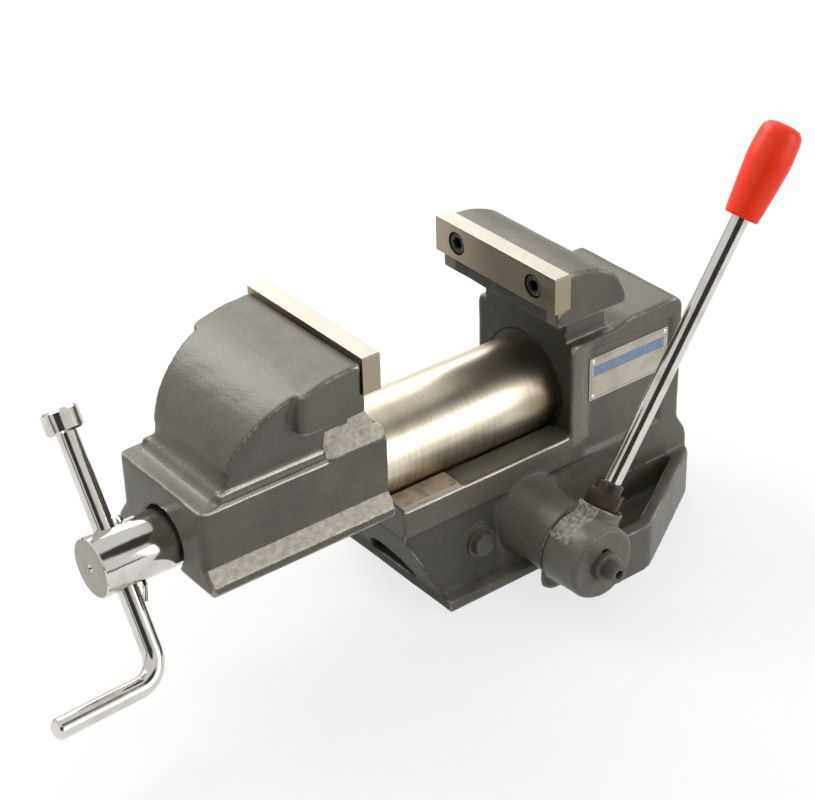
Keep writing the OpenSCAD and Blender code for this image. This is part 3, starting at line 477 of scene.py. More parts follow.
@dataclass(frozen=True)
class FilmedStock:
    """Plain stock under a patchy film, such as oil, rust, dust or the rub marks of a key."""

    name: str
    stock: Colour
    film: Colour
    patches: float
    spread: Span
    metal: Span
    dull: Span
    grain: float
    detail: float = 4.0
    rough: float = 0.5
    grain_detail: float = 2.0
    grain_depth: float = 0.05 * MM
    grain_share: float = 0.5

    def make(self) -> Material:
        """Build the stock and its film.

        Returns:
            The material.
        """
        g = Graph(self.name)
        film = g.span(g.noise(self.patches, self.detail, rough=self.rough), *self.spread)
        plain = self.metal[0] == self.metal[1]
        g.put("Base Color", g.blend(film, self.stock, self.film))
        g.put("Metallic", self.metal[0] if plain else g.between(film, *self.metal))
        g.put("Roughness", g.between(film, *self.dull))
        g.emboss(g.noise(self.grain, self.grain_detail), self.grain_depth, self.grain_share)
        return g.material


@dataclass(frozen=True)
class GripPlastic:
    """Orange-red moulded plastic with a satin skin and a few scuffs."""

    name: str = "grip_plastic"
    red: Colour = srgb(254, 44, 8)
    warm: Colour = srgb(255, 64, 18)
    scuff: Colour = srgb(240, 92, 58)
    glow: Point = (4 * MM, 1.5 * MM, MM)

    def make(self) -> Material:
        """Build the plastic and its scuffs.

        Returns:
            The material.
        """
        g = Graph(self.name)
        broad = g.noise(38)
        scuffs = g.span(g.noise(300, 4, stretch=(1, 1, 0.3)), 0.62, 0.78)
        plastic = g.blend(broad, self.red, self.warm)
        g.put("Base Color", g.blend(g.times(scuffs, 0.6), plastic, self.scuff))
        g.put("Roughness", g.math("ADD", g.between(broad, 0.36, 0.44), g.between(scuffs, 0.0, 0.2)))
        g.put("Specular IOR Level", 0.35)
        g.put("Subsurface Weight", 0.08)
        g.put("Subsurface Radius", self.glow)
        g.emboss(g.noise(1300, 2), 0.04 * MM, 0.5)
        return g.material


@dataclass(frozen=True)
class LabelFace:
    """Blank cream label with a printed blue frame line and band, a little yellowed and scratched."""

    low: Vector
    high: Vector
    name: str = "label_face"
    cream: Colour = srgb(206, 200, 183)
    yellowed: Colour = srgb(188, 179, 155)
    ink: Colour = srgb(84, 124, 176)
    inset: float = 1.6 * MM
    rule: float = 0.5 * MM
    band: Span = (0.55, 0.8)

    def make(self) -> Material:
        """Build the card, its frame line and its band.

        Returns:
            The material.
        """
        g = Graph(self.name)
        age = g.span(g.noise(70, 4), 0.4, 0.75)
        axes = g.axes(g.place)
        depths = []
        for name, low, high in (("Y", self.low.y, self.high.y), ("Z", self.low.z, self.high.z)):
            past, short = g.math("SUBTRACT", axes[name], low), g.math("SUBTRACT", high, axes[name])
            depths.append(g.math("MINIMUM", past, short))
        depth = g.math("MINIMUM", *depths)
        line = g.within(depth, self.inset, self.inset + self.rule)
        rise = self.high.z - self.low.z
        band = g.within(axes["Z"], *(self.low.z + share * rise for share in self.band))
        inside = g.math("GREATER_THAN", depth, self.inset + 4 * self.rule)
        printed = g.math("MAXIMUM", line, g.times(band, inside))
        partial_share = g.between(g.noise(420), 0.55, 0.95)
        card = g.blend(age, self.cream, self.yellowed)
        g.put("Base Color", g.blend(g.times(printed, partial_share), card, self.ink))
        g.put("Roughness", g.between(age, 0.3, 0.45))
        g.put("Metallic", 0.1)
        g.emboss(g.noise(800, 2), 0.03 * MM, 0.5)
        return g.material


class Palette:
    """Material of each finish, made once. The skins are how deep the finish of a face reaches."""

    plate_skin: float = 0.15 * MM
    screw_skin: float = 0.2 * MM

    def __init__(self) -> None:
        """Make every material."""
        jaw_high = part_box("fixed_jaw_plate")[1]
        makers = {
            Finish.CASTING: CastPaint(),
            # The tube's sooty colour also serves as painted shade near the bore and on its low side.
            Finish.GROUND: GroundSteel(
                "ground_tube", srgb(228, 220, 203), srgb(204, 187, 157), srgb(142, 118, 86),
                lines=(14, 1500, 14), soot_and_shade=srgb(106, 86, 60)),
            # The plate's steel is dark to stand in for its shaded front face, as painted shade; its ends and
            # top turn lighter as painted light.
            Finish.PLATE: GroundSteel(
                "ground_plate", srgb(104, 96, 84), srgb(92, 84, 72), srgb(74, 64, 52),
                lines=(14, 14, 700), bloom=(30, 30, 60), dull=(0.34, 0.44), lighter_tone=srgb(196, 182, 160),
                lighter_from=(jaw_high.x - self.plate_skin, jaw_high.z - self.plate_skin)),
            Finish.BRIGHT: BrightSteel(),
            Finish.SCREW: BrightSteel("bright_screw", face_y=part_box("spindle")[0].y + self.screw_skin),
            Finish.BLACK: FilmedStock(
                "blackened_steel", srgb(30, 28, 26), srgb(74, 70, 64), patches=380, rough=0.6,
                spread=(0.5, 0.72), metal=(0.6, 0.6), dull=(0.42, 0.28), grain=1400),
            Finish.PAINTED: CastPaint("bolt_enamel"),
            Finish.BRONZE: FilmedStock(
                "turned_bronze", srgb(190, 146, 84), srgb(120, 84, 46), patches=90, spread=(0.4, 0.7),
                metal=(1, 1), dull=(0.26, 0.46), grain=900, grain_detail=3, grain_share=0.4),
            Finish.WORN: FilmedStock(
                "rusted_steel", srgb(80, 67, 53), srgb(42, 34, 27), patches=120, detail=5, rough=0.6,
                spread=(0.3, 0.7), metal=(0.7, 0.3), dull=(0.26, 0.5), grain=700, grain_detail=3,
                grain_depth=0.08 * MM, grain_share=0.4),
            Finish.RUBBER: FilmedStock(
                "wiper_rubber", srgb(24, 23, 22), srgb(66, 62, 56), patches=150, spread=(0.5, 0.8),
                metal=(0, 0), dull=(0.55, 0.8), grain=1100, grain_depth=0.06 * MM),
            Finish.GRIP: GripPlastic(),
            Finish.LABEL: LabelFace(*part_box("nameplate")),
        }
        self.materials = {finish: maker.make() for finish, maker in makers.items()}

    def dress(self, piece: Object, finish: Finish) -> None:
        """Give a piece one finish all over."""
        piece.data.materials.clear()
        piece.data.materials.append(self.materials[finish])

    def settle(self, piece: Object, node: str, body: str, finish: Finish) -> None:
        """Dress a made piece, set it on its body and let it stand for a CAD node.

        Args:
            piece: The piece.
            node: CAD node that it stands for.
            body: Body that it rides on.
            finish: Its finish.
        """
        self.dress(piece, finish)
        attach(piece, body)
        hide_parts(node)
        LOG.info("%s: %d faces", piece.name, len(piece.data.polygons))


def middle_of(node: str) -> Vector:
    """Middle of a CAD node's box."""
    low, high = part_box(node)
    return (low + high) / 2


def half_of(node: str, axis: Axis) -> float:
    """Half of a CAD node's reach along one axis."""
    low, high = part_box(node)
    return (high[axis.value] - low[axis.value]) / 2


def points_of(mesh: Mesh, field: str = "co") -> np.ndarray:
    """Read a vector of every point of a mesh.

    Args:
        mesh: The mesh.
        field: Name of the vector, such as co or normal.

    Returns:
        One row for each point.
    """
    values = np.empty(len(mesh.vertices) * 3, np.float32)
    mesh.vertices.foreach_get(field, values)
    return values.reshape(-1, 3).astype(np.float64)


def set_points(mesh: Mesh, points: np.ndarray) -> None:
    """Write the places of a mesh's points."""
    mesh.vertices.foreach_set("co", points.astype(np.float32).ravel())
    mesh.update()


def edges_of(mesh: Mesh) -> np.ndarray:
    """Read the point pairs of a mesh's edges.

    Args:
        mesh: The mesh.

    Returns:
        One row for each edge.
    """
    values = np.empty(len(mesh.edges) * 2, np.int32)
    mesh.edges.foreach_get("vertices", values)
    return values.reshape(-1, 2)


def relaxed(points: np.ndarray, edges: np.ndarray, rounds: int, weight: float = 0.5) -> np.ndarray:
    """Draw each point towards the middle of its neighbours.

    Args:
        points: One row for each point.
        edges: Point pairs.
        rounds: Number of passes.
        weight: Share of the way that a pass goes.

    Returns:
        The moved points.
    """
    count = len(points)
    near, far = edges[:, 0], edges[:, 1]
    degree = np.bincount(edges.ravel(), minlength=count).clip(1)[:, None]
    moved = points.copy()
    for _ in range(rounds):
        total = np.empty_like(moved)
        for k in range(moved.shape[1]):
            total[:, k] = np.bincount(near, moved[far, k], count) + np.bincount(far, moved[near, k], count)
        moved += weight * (total / degree - moved)
    return moved


def link(name: str, mesh: Mesh) -> Object:
    """Put a mesh into the scene as an object at the origin.

    Args:
        name: Name of the object.
        mesh: Its mesh.

    Returns:
        The object.
    """
    made = bpy.data.objects.new(name, mesh)
    bpy.context.scene.collection.objects.link(made)
    return made


def merged_copy(node: str, frame: dict) -> Mesh:
    """Copy a CAD node's mesh with its loose triangles joined.

    Args:
        node: Name of the CAD node.
        frame: The loaded frame.

    Returns:
        A new closed mesh.
    """
    mesh = bpy.data.meshes.new(node + "_solid")
    bm = bmesh.new()
    bm.from_mesh(frame["nodes"][node].data)
    bmesh.ops.remove_doubles(bm, verts=bm.verts, dist=JOIN)
    bm.to_mesh(mesh)
    bm.free()
    return mesh


def evaluated(piece: Object) -> Mesh:
    """Turn an object with modifiers into a plain mesh and take the modifiers off.

    Args:
        piece: The object.

    Returns:
        Its new mesh.
    """
    graph = bpy.context.evaluated_depsgraph_get()
    mesh = bpy.data.meshes.new_from_object(piece.evaluated_get(graph))
    piece.modifiers.clear()
    piece.data = mesh
    return mesh


def turned_to(x: Vector, z: Vector, at: Vector) -> Matrix:
    """Placement whose own X and Z point along x and z, with its origin at a point."""
    return Matrix.Translation(at) @ Matrix((x, z.cross(x), z)).transposed().to_4x4()


@dataclass(frozen=True)
class Bore:
    """Round hole that is cut true after the casting is made."""

    axis: Axis
    centre: Vector
    radius: float
    start: float
    end: float
    slack: float = 1.1 * MM
    rim_reach: float = 2.5
    rim_past: float = 2.0

    def offsets(self, points: np.ndarray) -> tuple[list[int], np.ndarray, np.ndarray]:
        """Where points lie round the hole.

        Args:
            points: One row for each point.

        Returns:
            The two axes across the hole, the offsets from its middle along them, and the distances.
        """
        across = [k for k in range(3) if k != self.axis.value]
        offset = points[:, across] - np.array(self.centre)[across]
        return across, offset, np.linalg.norm(offset, axis=1).clip(TINY)

    def rim(self, points: np.ndarray) -> np.ndarray:
        """Find the hole's mouth and wall, where a cut edge carries no paint to chafe and gets no painted
        highlight line.

        Args:
            points: One row for each point.

        Returns:
            Whether each point lies there.
        """
        along = points[:, self.axis.value]
        near = np.abs(self.offsets(points)[2] - self.radius) < self.rim_reach * self.slack
        past = self.rim_past * self.slack
        return near & (along > self.start - past) & (along < self.end + past)

    def ream(self, points: np.ndarray) -> None:
        """Move the points near the hole's wall onto it.

        Args:
            points: Points of the casting, changed in place.
        """
        along = points[:, self.axis.value]
        across, offset, radius = self.offsets(points)
        near = (np.abs(radius - self.radius) < self.slack) & (along > self.start) & (along < self.end)
        stretch = (self.radius / radius[near] - 1)[:, None]
        points[np.ix_(np.flatnonzero(near), across)] += offset[near] * stretch


@dataclass(frozen=True)
class Patch:
    """Box of a casting whose skin differs from the painted rest."""

    mark: Mark
    x: Span
    y: Span
    z: Span
    facing: Point = UPWARD
    least: float = -1.1
    strength: float = 1.0
    soft: float = 1.2 * MM
    turn: float = 0.2

    @classmethod
    def ridge(cls, x: Span, y: Span, z: Span) -> Patch:
        """Painted highlight line, partly chafed paint, along an edge that looks up and to the right."""
        return cls(Mark.EDGE, x, y, z, (1, 0, 1), least=1.3, strength=1.2, turn=0.12)

    def share(self, points: np.ndarray, normals: np.ndarray) -> np.ndarray:
        """Strength of the patch at each point, with soft borders.

        Args:
            points: One row for each point.
            normals: Direction of the skin at each point.

        Returns:
            One strength for each point, 0 outside the box or where the skin faces another way.
        """
        low, high = np.array((self.x, self.y, self.z)).T
        depth = np.minimum(points - low, high - points).min(axis=1)
        inside = (0.5 + depth / self.soft).clip(0, 1)
        turned = (0.5 + (normals @ np.array(self.facing) - self.least) / self.turn).clip(0, 1)
        return inside * turned * self.strength

    def both_sides(self) -> list[Patch]:
        """This patch and its twin on the left."""
        facing = (-self.facing[0], self.facing[1], self.facing[2])
        return [self, replace(self, x=(-self.x[1], -self.x[0]), facing=facing)]


@dataclass
class Casting:
    """Sand casting: its solid remade as an even skin with soft edges and slightly wavy faces."""

    node: str
    body: str
    voxel: float
    bores: Sequence[Bore] = ()
    patches: Sequence[Patch] = ()
    melted: Sequence[Patch] = ()
    melt_rounds: int = 60
    rough_height: float = 0.32 * MM
    rough_lengths: Span = (4 * MM, 12 * MM)
    rounds: int = 5
    wave_height: float = 0.1 * MM
    wave_lengths: Span = (16 * MM, 55 * MM)
    wave_count: int = 26
    seed: int = 5
    calm_rounds: int = 5
    even_rounds: int = 3
    edge_span: Span = (0.09 * MM, 0.22 * MM)
    # Strength of the edge lines, which are chafed paint and painted highlight.
    edge_wear_and_highlight: float = 0.64
    hollow_span: Span = (0.12 * MM, 0.5 * MM)
    flat_below: float = 0.6 * MM
    most_triangles: int = 190_000

    def build(self, frame: dict, palette: Palette) -> None:
        """Make the skin and let it stand for the CAD node.

        Args:
            frame: The loaded frame.
            palette: Materials.
        """
        piece = link(self.node + "_skin", merged_copy(self.node, frame))
        remesh = piece.modifiers.new("even_skin", "REMESH")
        remesh.mode = "VOXEL"
        remesh.voxel_size = self.voxel
        self.shape(evaluated(piece))
        self.thin(piece)
        piece.data.shade_smooth()
        palette.settle(piece, self.node, self.body, Finish.CASTING)

    def shape(self, mesh: Mesh) -> None:
        """Soften the edges, ripple the faces, cut the bores true and mark the skin.

        Args:
            mesh: The even mesh, changed in place.
        """
        edges = edges_of(mesh)
        points = points_of(mesh)
        bottom = points[:, 2].min()
        floor = points[:, 2] < bottom + self.flat_below
        points = relaxed(points, edges, self.rounds)
        set_points(mesh, points)
        normals = points_of(mesh, "normal")
        points += normals * (self.ripple(points, self.wave_lengths) * self.wave_height)[:, None]
        for patch in self.melted:
            share = patch.share(points, normals)[:, None]
            points += share * (relaxed(points, edges, self.melt_rounds) - points)
        points[floor, 2] = bottom
        for bore in self.bores:
            bore.ream(points)
        set_points(mesh, points)
        normals = points_of(mesh, "normal")
        marks = self.marks(points, normals, edges)
        rough = self.ripple(points, self.rough_lengths) * self.rough_height * marks[Mark.BARE]
        set_points(mesh, points + normals * rough[:, None])
        for mark, values in marks.items():
            layer = mesh.attributes.new(mark.value, "FLOAT", "POINT")
            layer.data.foreach_set("value", values.astype(np.float32))

    def marks(self, points: np.ndarray, normals: np.ndarray, edges: np.ndarray) -> dict[Mark, np.ndarray]:
        """Find the edges, chafed and given painted highlights, the hollows, darkened by painted shade and
        filth, and the patches of the skin.

        Args:
            points: One row for each point.
            normals: Direction of the skin at each point.
            edges: Point pairs.

        Returns:
            The strength of each mark at each point.
        """
        stand = ((points - relaxed(points, edges, self.calm_rounds)) * normals).sum(axis=1, keepdims=True)
        stand = relaxed(stand, edges, self.even_rounds)[:, 0]
        found = {mark: np.zeros(len(points)) for mark in Mark}
        # Convex edges: chafed paint and painted highlight lines.
        found[Mark.EDGE] = self.ramp(stand, self.edge_span) * self.edge_wear_and_highlight
        # Concave creases: painted shade, partly real filth.
        found[Mark.HOLLOW] = self.ramp(-stand, self.hollow_span)
        for patch in self.patches:
            found[patch.mark] = np.maximum(found[patch.mark], patch.share(points, normals))
        for bore in self.bores:
            found[Mark.EDGE][bore.rim(points)] = 0
        return found

    def ripple(self, points: np.ndarray, lengths: Span) -> np.ndarray:
        """Height of the casting's waves at each point, from about -1 to 1.

        Args:
            points: One row for each point.
            lengths: Shortest and longest wave.

        Returns:
            One height for each point.
        """
        draw = np.random.default_rng(self.seed)
        height = np.zeros(len(points))
        for _ in range(self.wave_count):
            way = draw.normal(size=3)
            way /= np.linalg.norm(way)
            length = draw.uniform(*lengths)
            height += np.cos(points @ way * math.tau / length + draw.uniform(0, math.tau))
        return height / math.sqrt(self.wave_count / 2)

    @staticmethod
    def ramp(values: np.ndarray, limits: Span) -> np.ndarray:
        """Rise from 0 at the first limit to 1 at the second."""
        return ((values - limits[0]) / (limits[1] - limits[0])).clip(0, 1)

    def thin(self, piece: Object) -> None:
        """Take triangles out of the flat faces until the piece is light enough.

        Args:
            piece: The piece, changed in place.
        """
        triangles = sum(len(face.vertices) - 2 for face in piece.data.polygons)
        if triangles > self.most_triangles:
            piece.modifiers.new("lighter", "DECIMATE").ratio = self.most_triangles / triangles
            evaluated(piece)


class Section(Enum):
    """Shape of one ring of a turned piece."""

    ROUND = "round"
    KNURLED = "knurled"
    HEX = "hex"

    def radius(self, size: float, step: int, steps: int) -> float:
        """Distance from the axis at one step round the ring.

        Args:
            size: Radius of the ring, over its corners for a hexagon.
            step: Number of the step.
            steps: Steps in the whole ring.

        Returns:
            The distance, in the units of size.
        """
        if self is Section.KNURLED:
            return size * (1.0 if step % 2 else KNURL_FLOOR)
        if self is Section.HEX:
            sixth = math.tau / 6
            turn = (step / steps * math.tau) % sixth
            return size * math.cos(sixth / 2) / math.cos(turn - sixth / 2)
        return size


ROUND, KNURLED, HEX = Section.ROUND, Section.KNURLED, Section.HEX
Ring = tuple[float, float, Section]


def turned(name: str, rings: Sequence[Ring], steps: int = 72, sharp: float = math.radians(34)) -> Mesh:
    """Turn a closed shape about Z from its rings.

    Args:
        name: Name of the mesh.
        rings: Radius, height and shape of each ring. A radius of 0 is one point.
        steps: Points in a ring.
        sharp: Angle from which an edge is shaded sharp.

    Returns:
        The mesh.
    """
    bm = bmesh.new()
    rows = []
    for size, height, section in rings:
        if size == 0:
            rows.append([bm.verts.new((0, 0, height))] * steps)
            continue
        row = []
        for step in range(steps):
            turn = step / steps * math.tau
            reach = section.radius(size, step, steps)
            row.append(bm.verts.new((reach * math.cos(turn), reach * math.sin(turn), height)))
        rows.append(row)
    for low, high in zip(rows, rows[1:]):
        for step in range(steps):
            following = (step + 1) % steps
            corners = [low[step], low[following], high[following], high[step]]
            bm.faces.new(list(dict.fromkeys(corners)))
    bmesh.ops.recalc_face_normals(bm, faces=bm.faces)
    mesh = bpy.data.meshes.new(name)
    bm.to_mesh(mesh)
    bm.free()
    mesh.shade_smooth()
    mesh.set_sharp_from_angle(angle=sharp)
    return mesh


@dataclass(frozen=True)
class SocketScrew:
    """Socket-head screw, its axis along Z and the face of its head at 0."""

    head_r: float
    head_h: float
    shank_r: float
    length: float
    socket_share: float = 0.575
    bevel: float = 0.7 * MM
    drill_depth: float = 0.5
    socket_depth: float = 0.48
    mouth_depth: float = 0.6

    def mesh(self, name: str) -> Mesh:
        """Turn the screw with its hexagon socket and knurled head.

        Args:
            name: Name of the mesh.

        Returns:
            The mesh.
        """
        socket = self.socket_share * self.head_r
        return turned(name, [
            (0, self.drill_depth * self.head_h, ROUND),
            (socket, self.socket_depth * self.head_h, HEX),
            (socket, self.mouth_depth * self.bevel, HEX),
            (socket + self.bevel, 0, ROUND),
            (self.head_r - self.bevel, 0, ROUND),
            (self.head_r, self.bevel, ROUND),
            (self.head_r, 2 * self.bevel, KNURLED),
            (self.head_r, self.head_h - self.bevel, KNURLED),
            (self.head_r - self.bevel, self.head_h, ROUND),
            (self.shank_r, self.head_h, ROUND),
            (self.shank_r, self.length - self.bevel, ROUND),
            (self.shank_r - self.bevel, self.length, ROUND),
            (0, self.length, ROUND),
        ])


@dataclass(frozen=True)
class DriveRivet:
    """Domed rivet, its axis along Z and the seat of its head at 0."""

    head_r: float
    head_h: float
    shank_r: float
    length: float
    dome_rings: int = 6
    steps: int = 28

    def mesh(self, name: str) -> Mesh:
        """Turn the rivet with its low dome.

        Args:
            name: Name of the mesh.

        Returns:
            The mesh.
        """
        rings: list[Ring] = [(0, -self.head_h, ROUND)]
        for ring in range(1, self.dome_rings + 1):
            turn = ring / self.dome_rings * math.pi / 2
            rings.append((self.head_r * math.sin(turn), -self.head_h * math.cos(turn), ROUND))
        rings += [(self.shank_r, 0, ROUND), (self.shank_r, self.length, ROUND), (0, self.length, ROUND)]
        return turned(name, rings, self.steps)


class Layout(Enum):
    """Ways in which like fasteners are set out, with the node that makes the points."""

    ROW = "GeometryNodeMeshLine"
    RING = "GeometryNodeMeshCircle"
    GRID = "GeometryNodeMeshGrid"


@dataclass
class FastenerSet:
    """Like fasteners of one CAD node, set out by a geometry node tree."""

    node: str
    body: str
    layout: Layout
    count: int
    width: float
    depth: float
    place: Matrix

    def build(self, fastener: Mesh, finish: Finish, palette: Palette) -> None:
        """Set the fasteners out and let them stand for the CAD node.

        Args:
            fastener: Mesh of one fastener along Z.
            finish: Its finish.
            palette: Materials.
        """
        pattern = link(self.node + "_pattern", fastener)
        piece = link(self.node + "_set", bpy.data.meshes.new(self.node + "_set"))
        modifier = piece.modifiers.new("set_out", "NODES")
        modifier.node_group = self.tree()
        values = {"Fastener": pattern, "Count": self.count, "Width": self.width, "Depth": self.depth,
                  "Finish": palette.materials[finish]}
        for item in modifier.node_group.interface.items_tree:
            if item.in_out == "INPUT":
                modifier[item.identifier] = values[item.name]
        mesh = evaluated(piece)
        mesh.transform(self.place)
        mesh.update()
        bpy.data.objects.remove(pattern)
        palette.settle(piece, self.node, self.body, finish)

    def tree(self) -> NodeTree:
        """Build the tree that repeats one fastener over the layout's points.

        Returns:
            The node tree, with inputs for the fastener, its finish and the sizes of the layout.
        """
        tree = bpy.data.node_groups.new(self.node + "_layout", "GeometryNodeTree")
        kinds = {"Fastener": "Object", "Count": "Int", "Width": "Float", "Depth": "Float",
                 "Finish": "Material"}
        for name, kind in kinds.items():
            tree.interface.new_socket(name, in_out="INPUT", socket_type="NodeSocket" + kind)
        tree.interface.new_socket("Geometry", in_out="OUTPUT", socket_type="NodeSocketGeometry")
        wiring = Wiring(tree)
        given = wiring.node("NodeGroupInput").outputs
        points = self.points(wiring, given["Count"], given["Width"], given["Depth"])
        source = wiring.node("GeometryNodeObjectInfo", {"Object": given["Fastener"]}).outputs["Geometry"]
        copies = wiring.node("GeometryNodeInstanceOnPoints", {"Points": points, "Instance": source})
        solid = wiring.node("GeometryNodeRealizeInstances", {"Geometry": copies.outputs["Instances"]})
        dressed = wiring.node("GeometryNodeSetMaterial",
                              {"Geometry": solid.outputs["Geometry"], "Material": given["Finish"]})
        wiring.node("NodeGroupOutput", {"Geometry": dressed.outputs["Geometry"]})
        return tree

    def points(self, wiring: Wiring, count: Socket, width: Socket, depth: Socket) -> Socket:
        """Add the node that makes the layout's points.

        Args:
            wiring: Tree that the node goes into.
            count: Socket of the number of fasteners, or of those along each side of a grid.
            width: Socket of the length of a row, the radius of a ring or the width of a grid.
            depth: Socket of the depth of a grid.

        Returns:
            Socket of the points.
        """
        settings = {}
        if self.layout is Layout.ROW:
            settings["mode"] = "END_POINTS"
            ends = [wiring.node("ShaderNodeCombineXYZ", {"X": wiring.times(width, share)}).outputs[0]
                    for share in (-0.5, 0.5)]
            inputs = {"Count": count, "Start Location": ends[0], "Offset": ends[1]}
        elif self.layout is Layout.RING:
            inputs = {"Vertices": count, "Radius": width}
        else:
            inputs = {"Size X": width, "Size Y": depth, "Vertices X": count, "Vertices Y": count}
        return wiring.node(self.layout.value, inputs, **settings).outputs["Mesh"]


@dataclass
class Hardware:
    """Machined piece whose sharp edges are broken a little."""

    node: str
    body: str
    finish: Finish
    width: float
    sharp: float = math.radians(38)
    shaded_sharp: float = math.radians(32)
    flat: float = math.radians(0.5)
    steps: int = 2
    fullness: float = 0.6

    def build(self, frame: dict, palette: Palette) -> None:
        """Make the eased copy and let it stand for the CAD node.

        Args:
            frame: The loaded frame.
            palette: Materials.
        """
        mesh = merged_copy(self.node, frame)
        bm = bmesh.new()
        bm.from_mesh(mesh)
        bmesh.ops.dissolve_limit(bm, angle_limit=self.flat, verts=bm.verts, edges=bm.edges)
        corners = [e for e in bm.edges if e.is_manifold and e.calc_face_angle() > self.sharp]
        bmesh.ops.bevel(bm, geom=corners, offset=self.width, offset_type="OFFSET",
                        segments=self.steps, profile=self.fullness, affect="EDGES", clamp_overlap=True)
        bm.to_mesh(mesh)
        bm.free()
        mesh.shade_smooth()
        mesh.set_sharp_from_angle(angle=self.shaded_sharp)
        palette.settle(link(self.node + "_eased", mesh), self.node, self.body, self.finish)


@dataclass
class Assembly:
    """Pieces that belong together, and what they are built from."""

    frame: dict
    palette: Palette
    head_share: float = 1.25
    shank_share: float = 0.625

    def dress(self, dressed: dict[Finish, Sequence[str]]) -> None:
        """Give CAD nodes that stay as they are their finishes.

        Args:
            dressed: Names of the nodes, by finish.
        """
        for finish, nodes in dressed.items():
            for node in nodes:
                self.palette.dress(self.frame["nodes"][node], finish)
                LOG.info("%s: %s", node, finish.slot)

    def ease(self, node: str, body: str, finish: Finish, width: float) -> None:
        """Break the sharp edges of a machined piece."""
        Hardware(node, body, finish, width).build(self.frame, self.palette)

    def jaw_screws(self, node: str, body: str, into: Vector) -> None:
        """Set out the two socket screws of a jaw plate.

        Args:
            node: CAD node of the screws.
            body: Body that they ride on.
            into: Direction from the head into the jaw.
        """
        low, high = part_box(node)
        head_r = half_of(node, Axis.Z)
        screw = SocketScrew(head_r, self.head_share * head_r, self.shank_share * head_r, high.y - low.y)
        face = low.y if into.y > 0 else high.y
        place = turned_to(Vector((1, 0, 0)), into, Vector((0, face, middle_of(node).z)))
        spread = FastenerSet(node, body, Layout.ROW, 2, high.x - low.x - 2 * head_r, 0, place)
        spread.build(screw.mesh(node + "_one"), Finish.BLACK, self.palette)


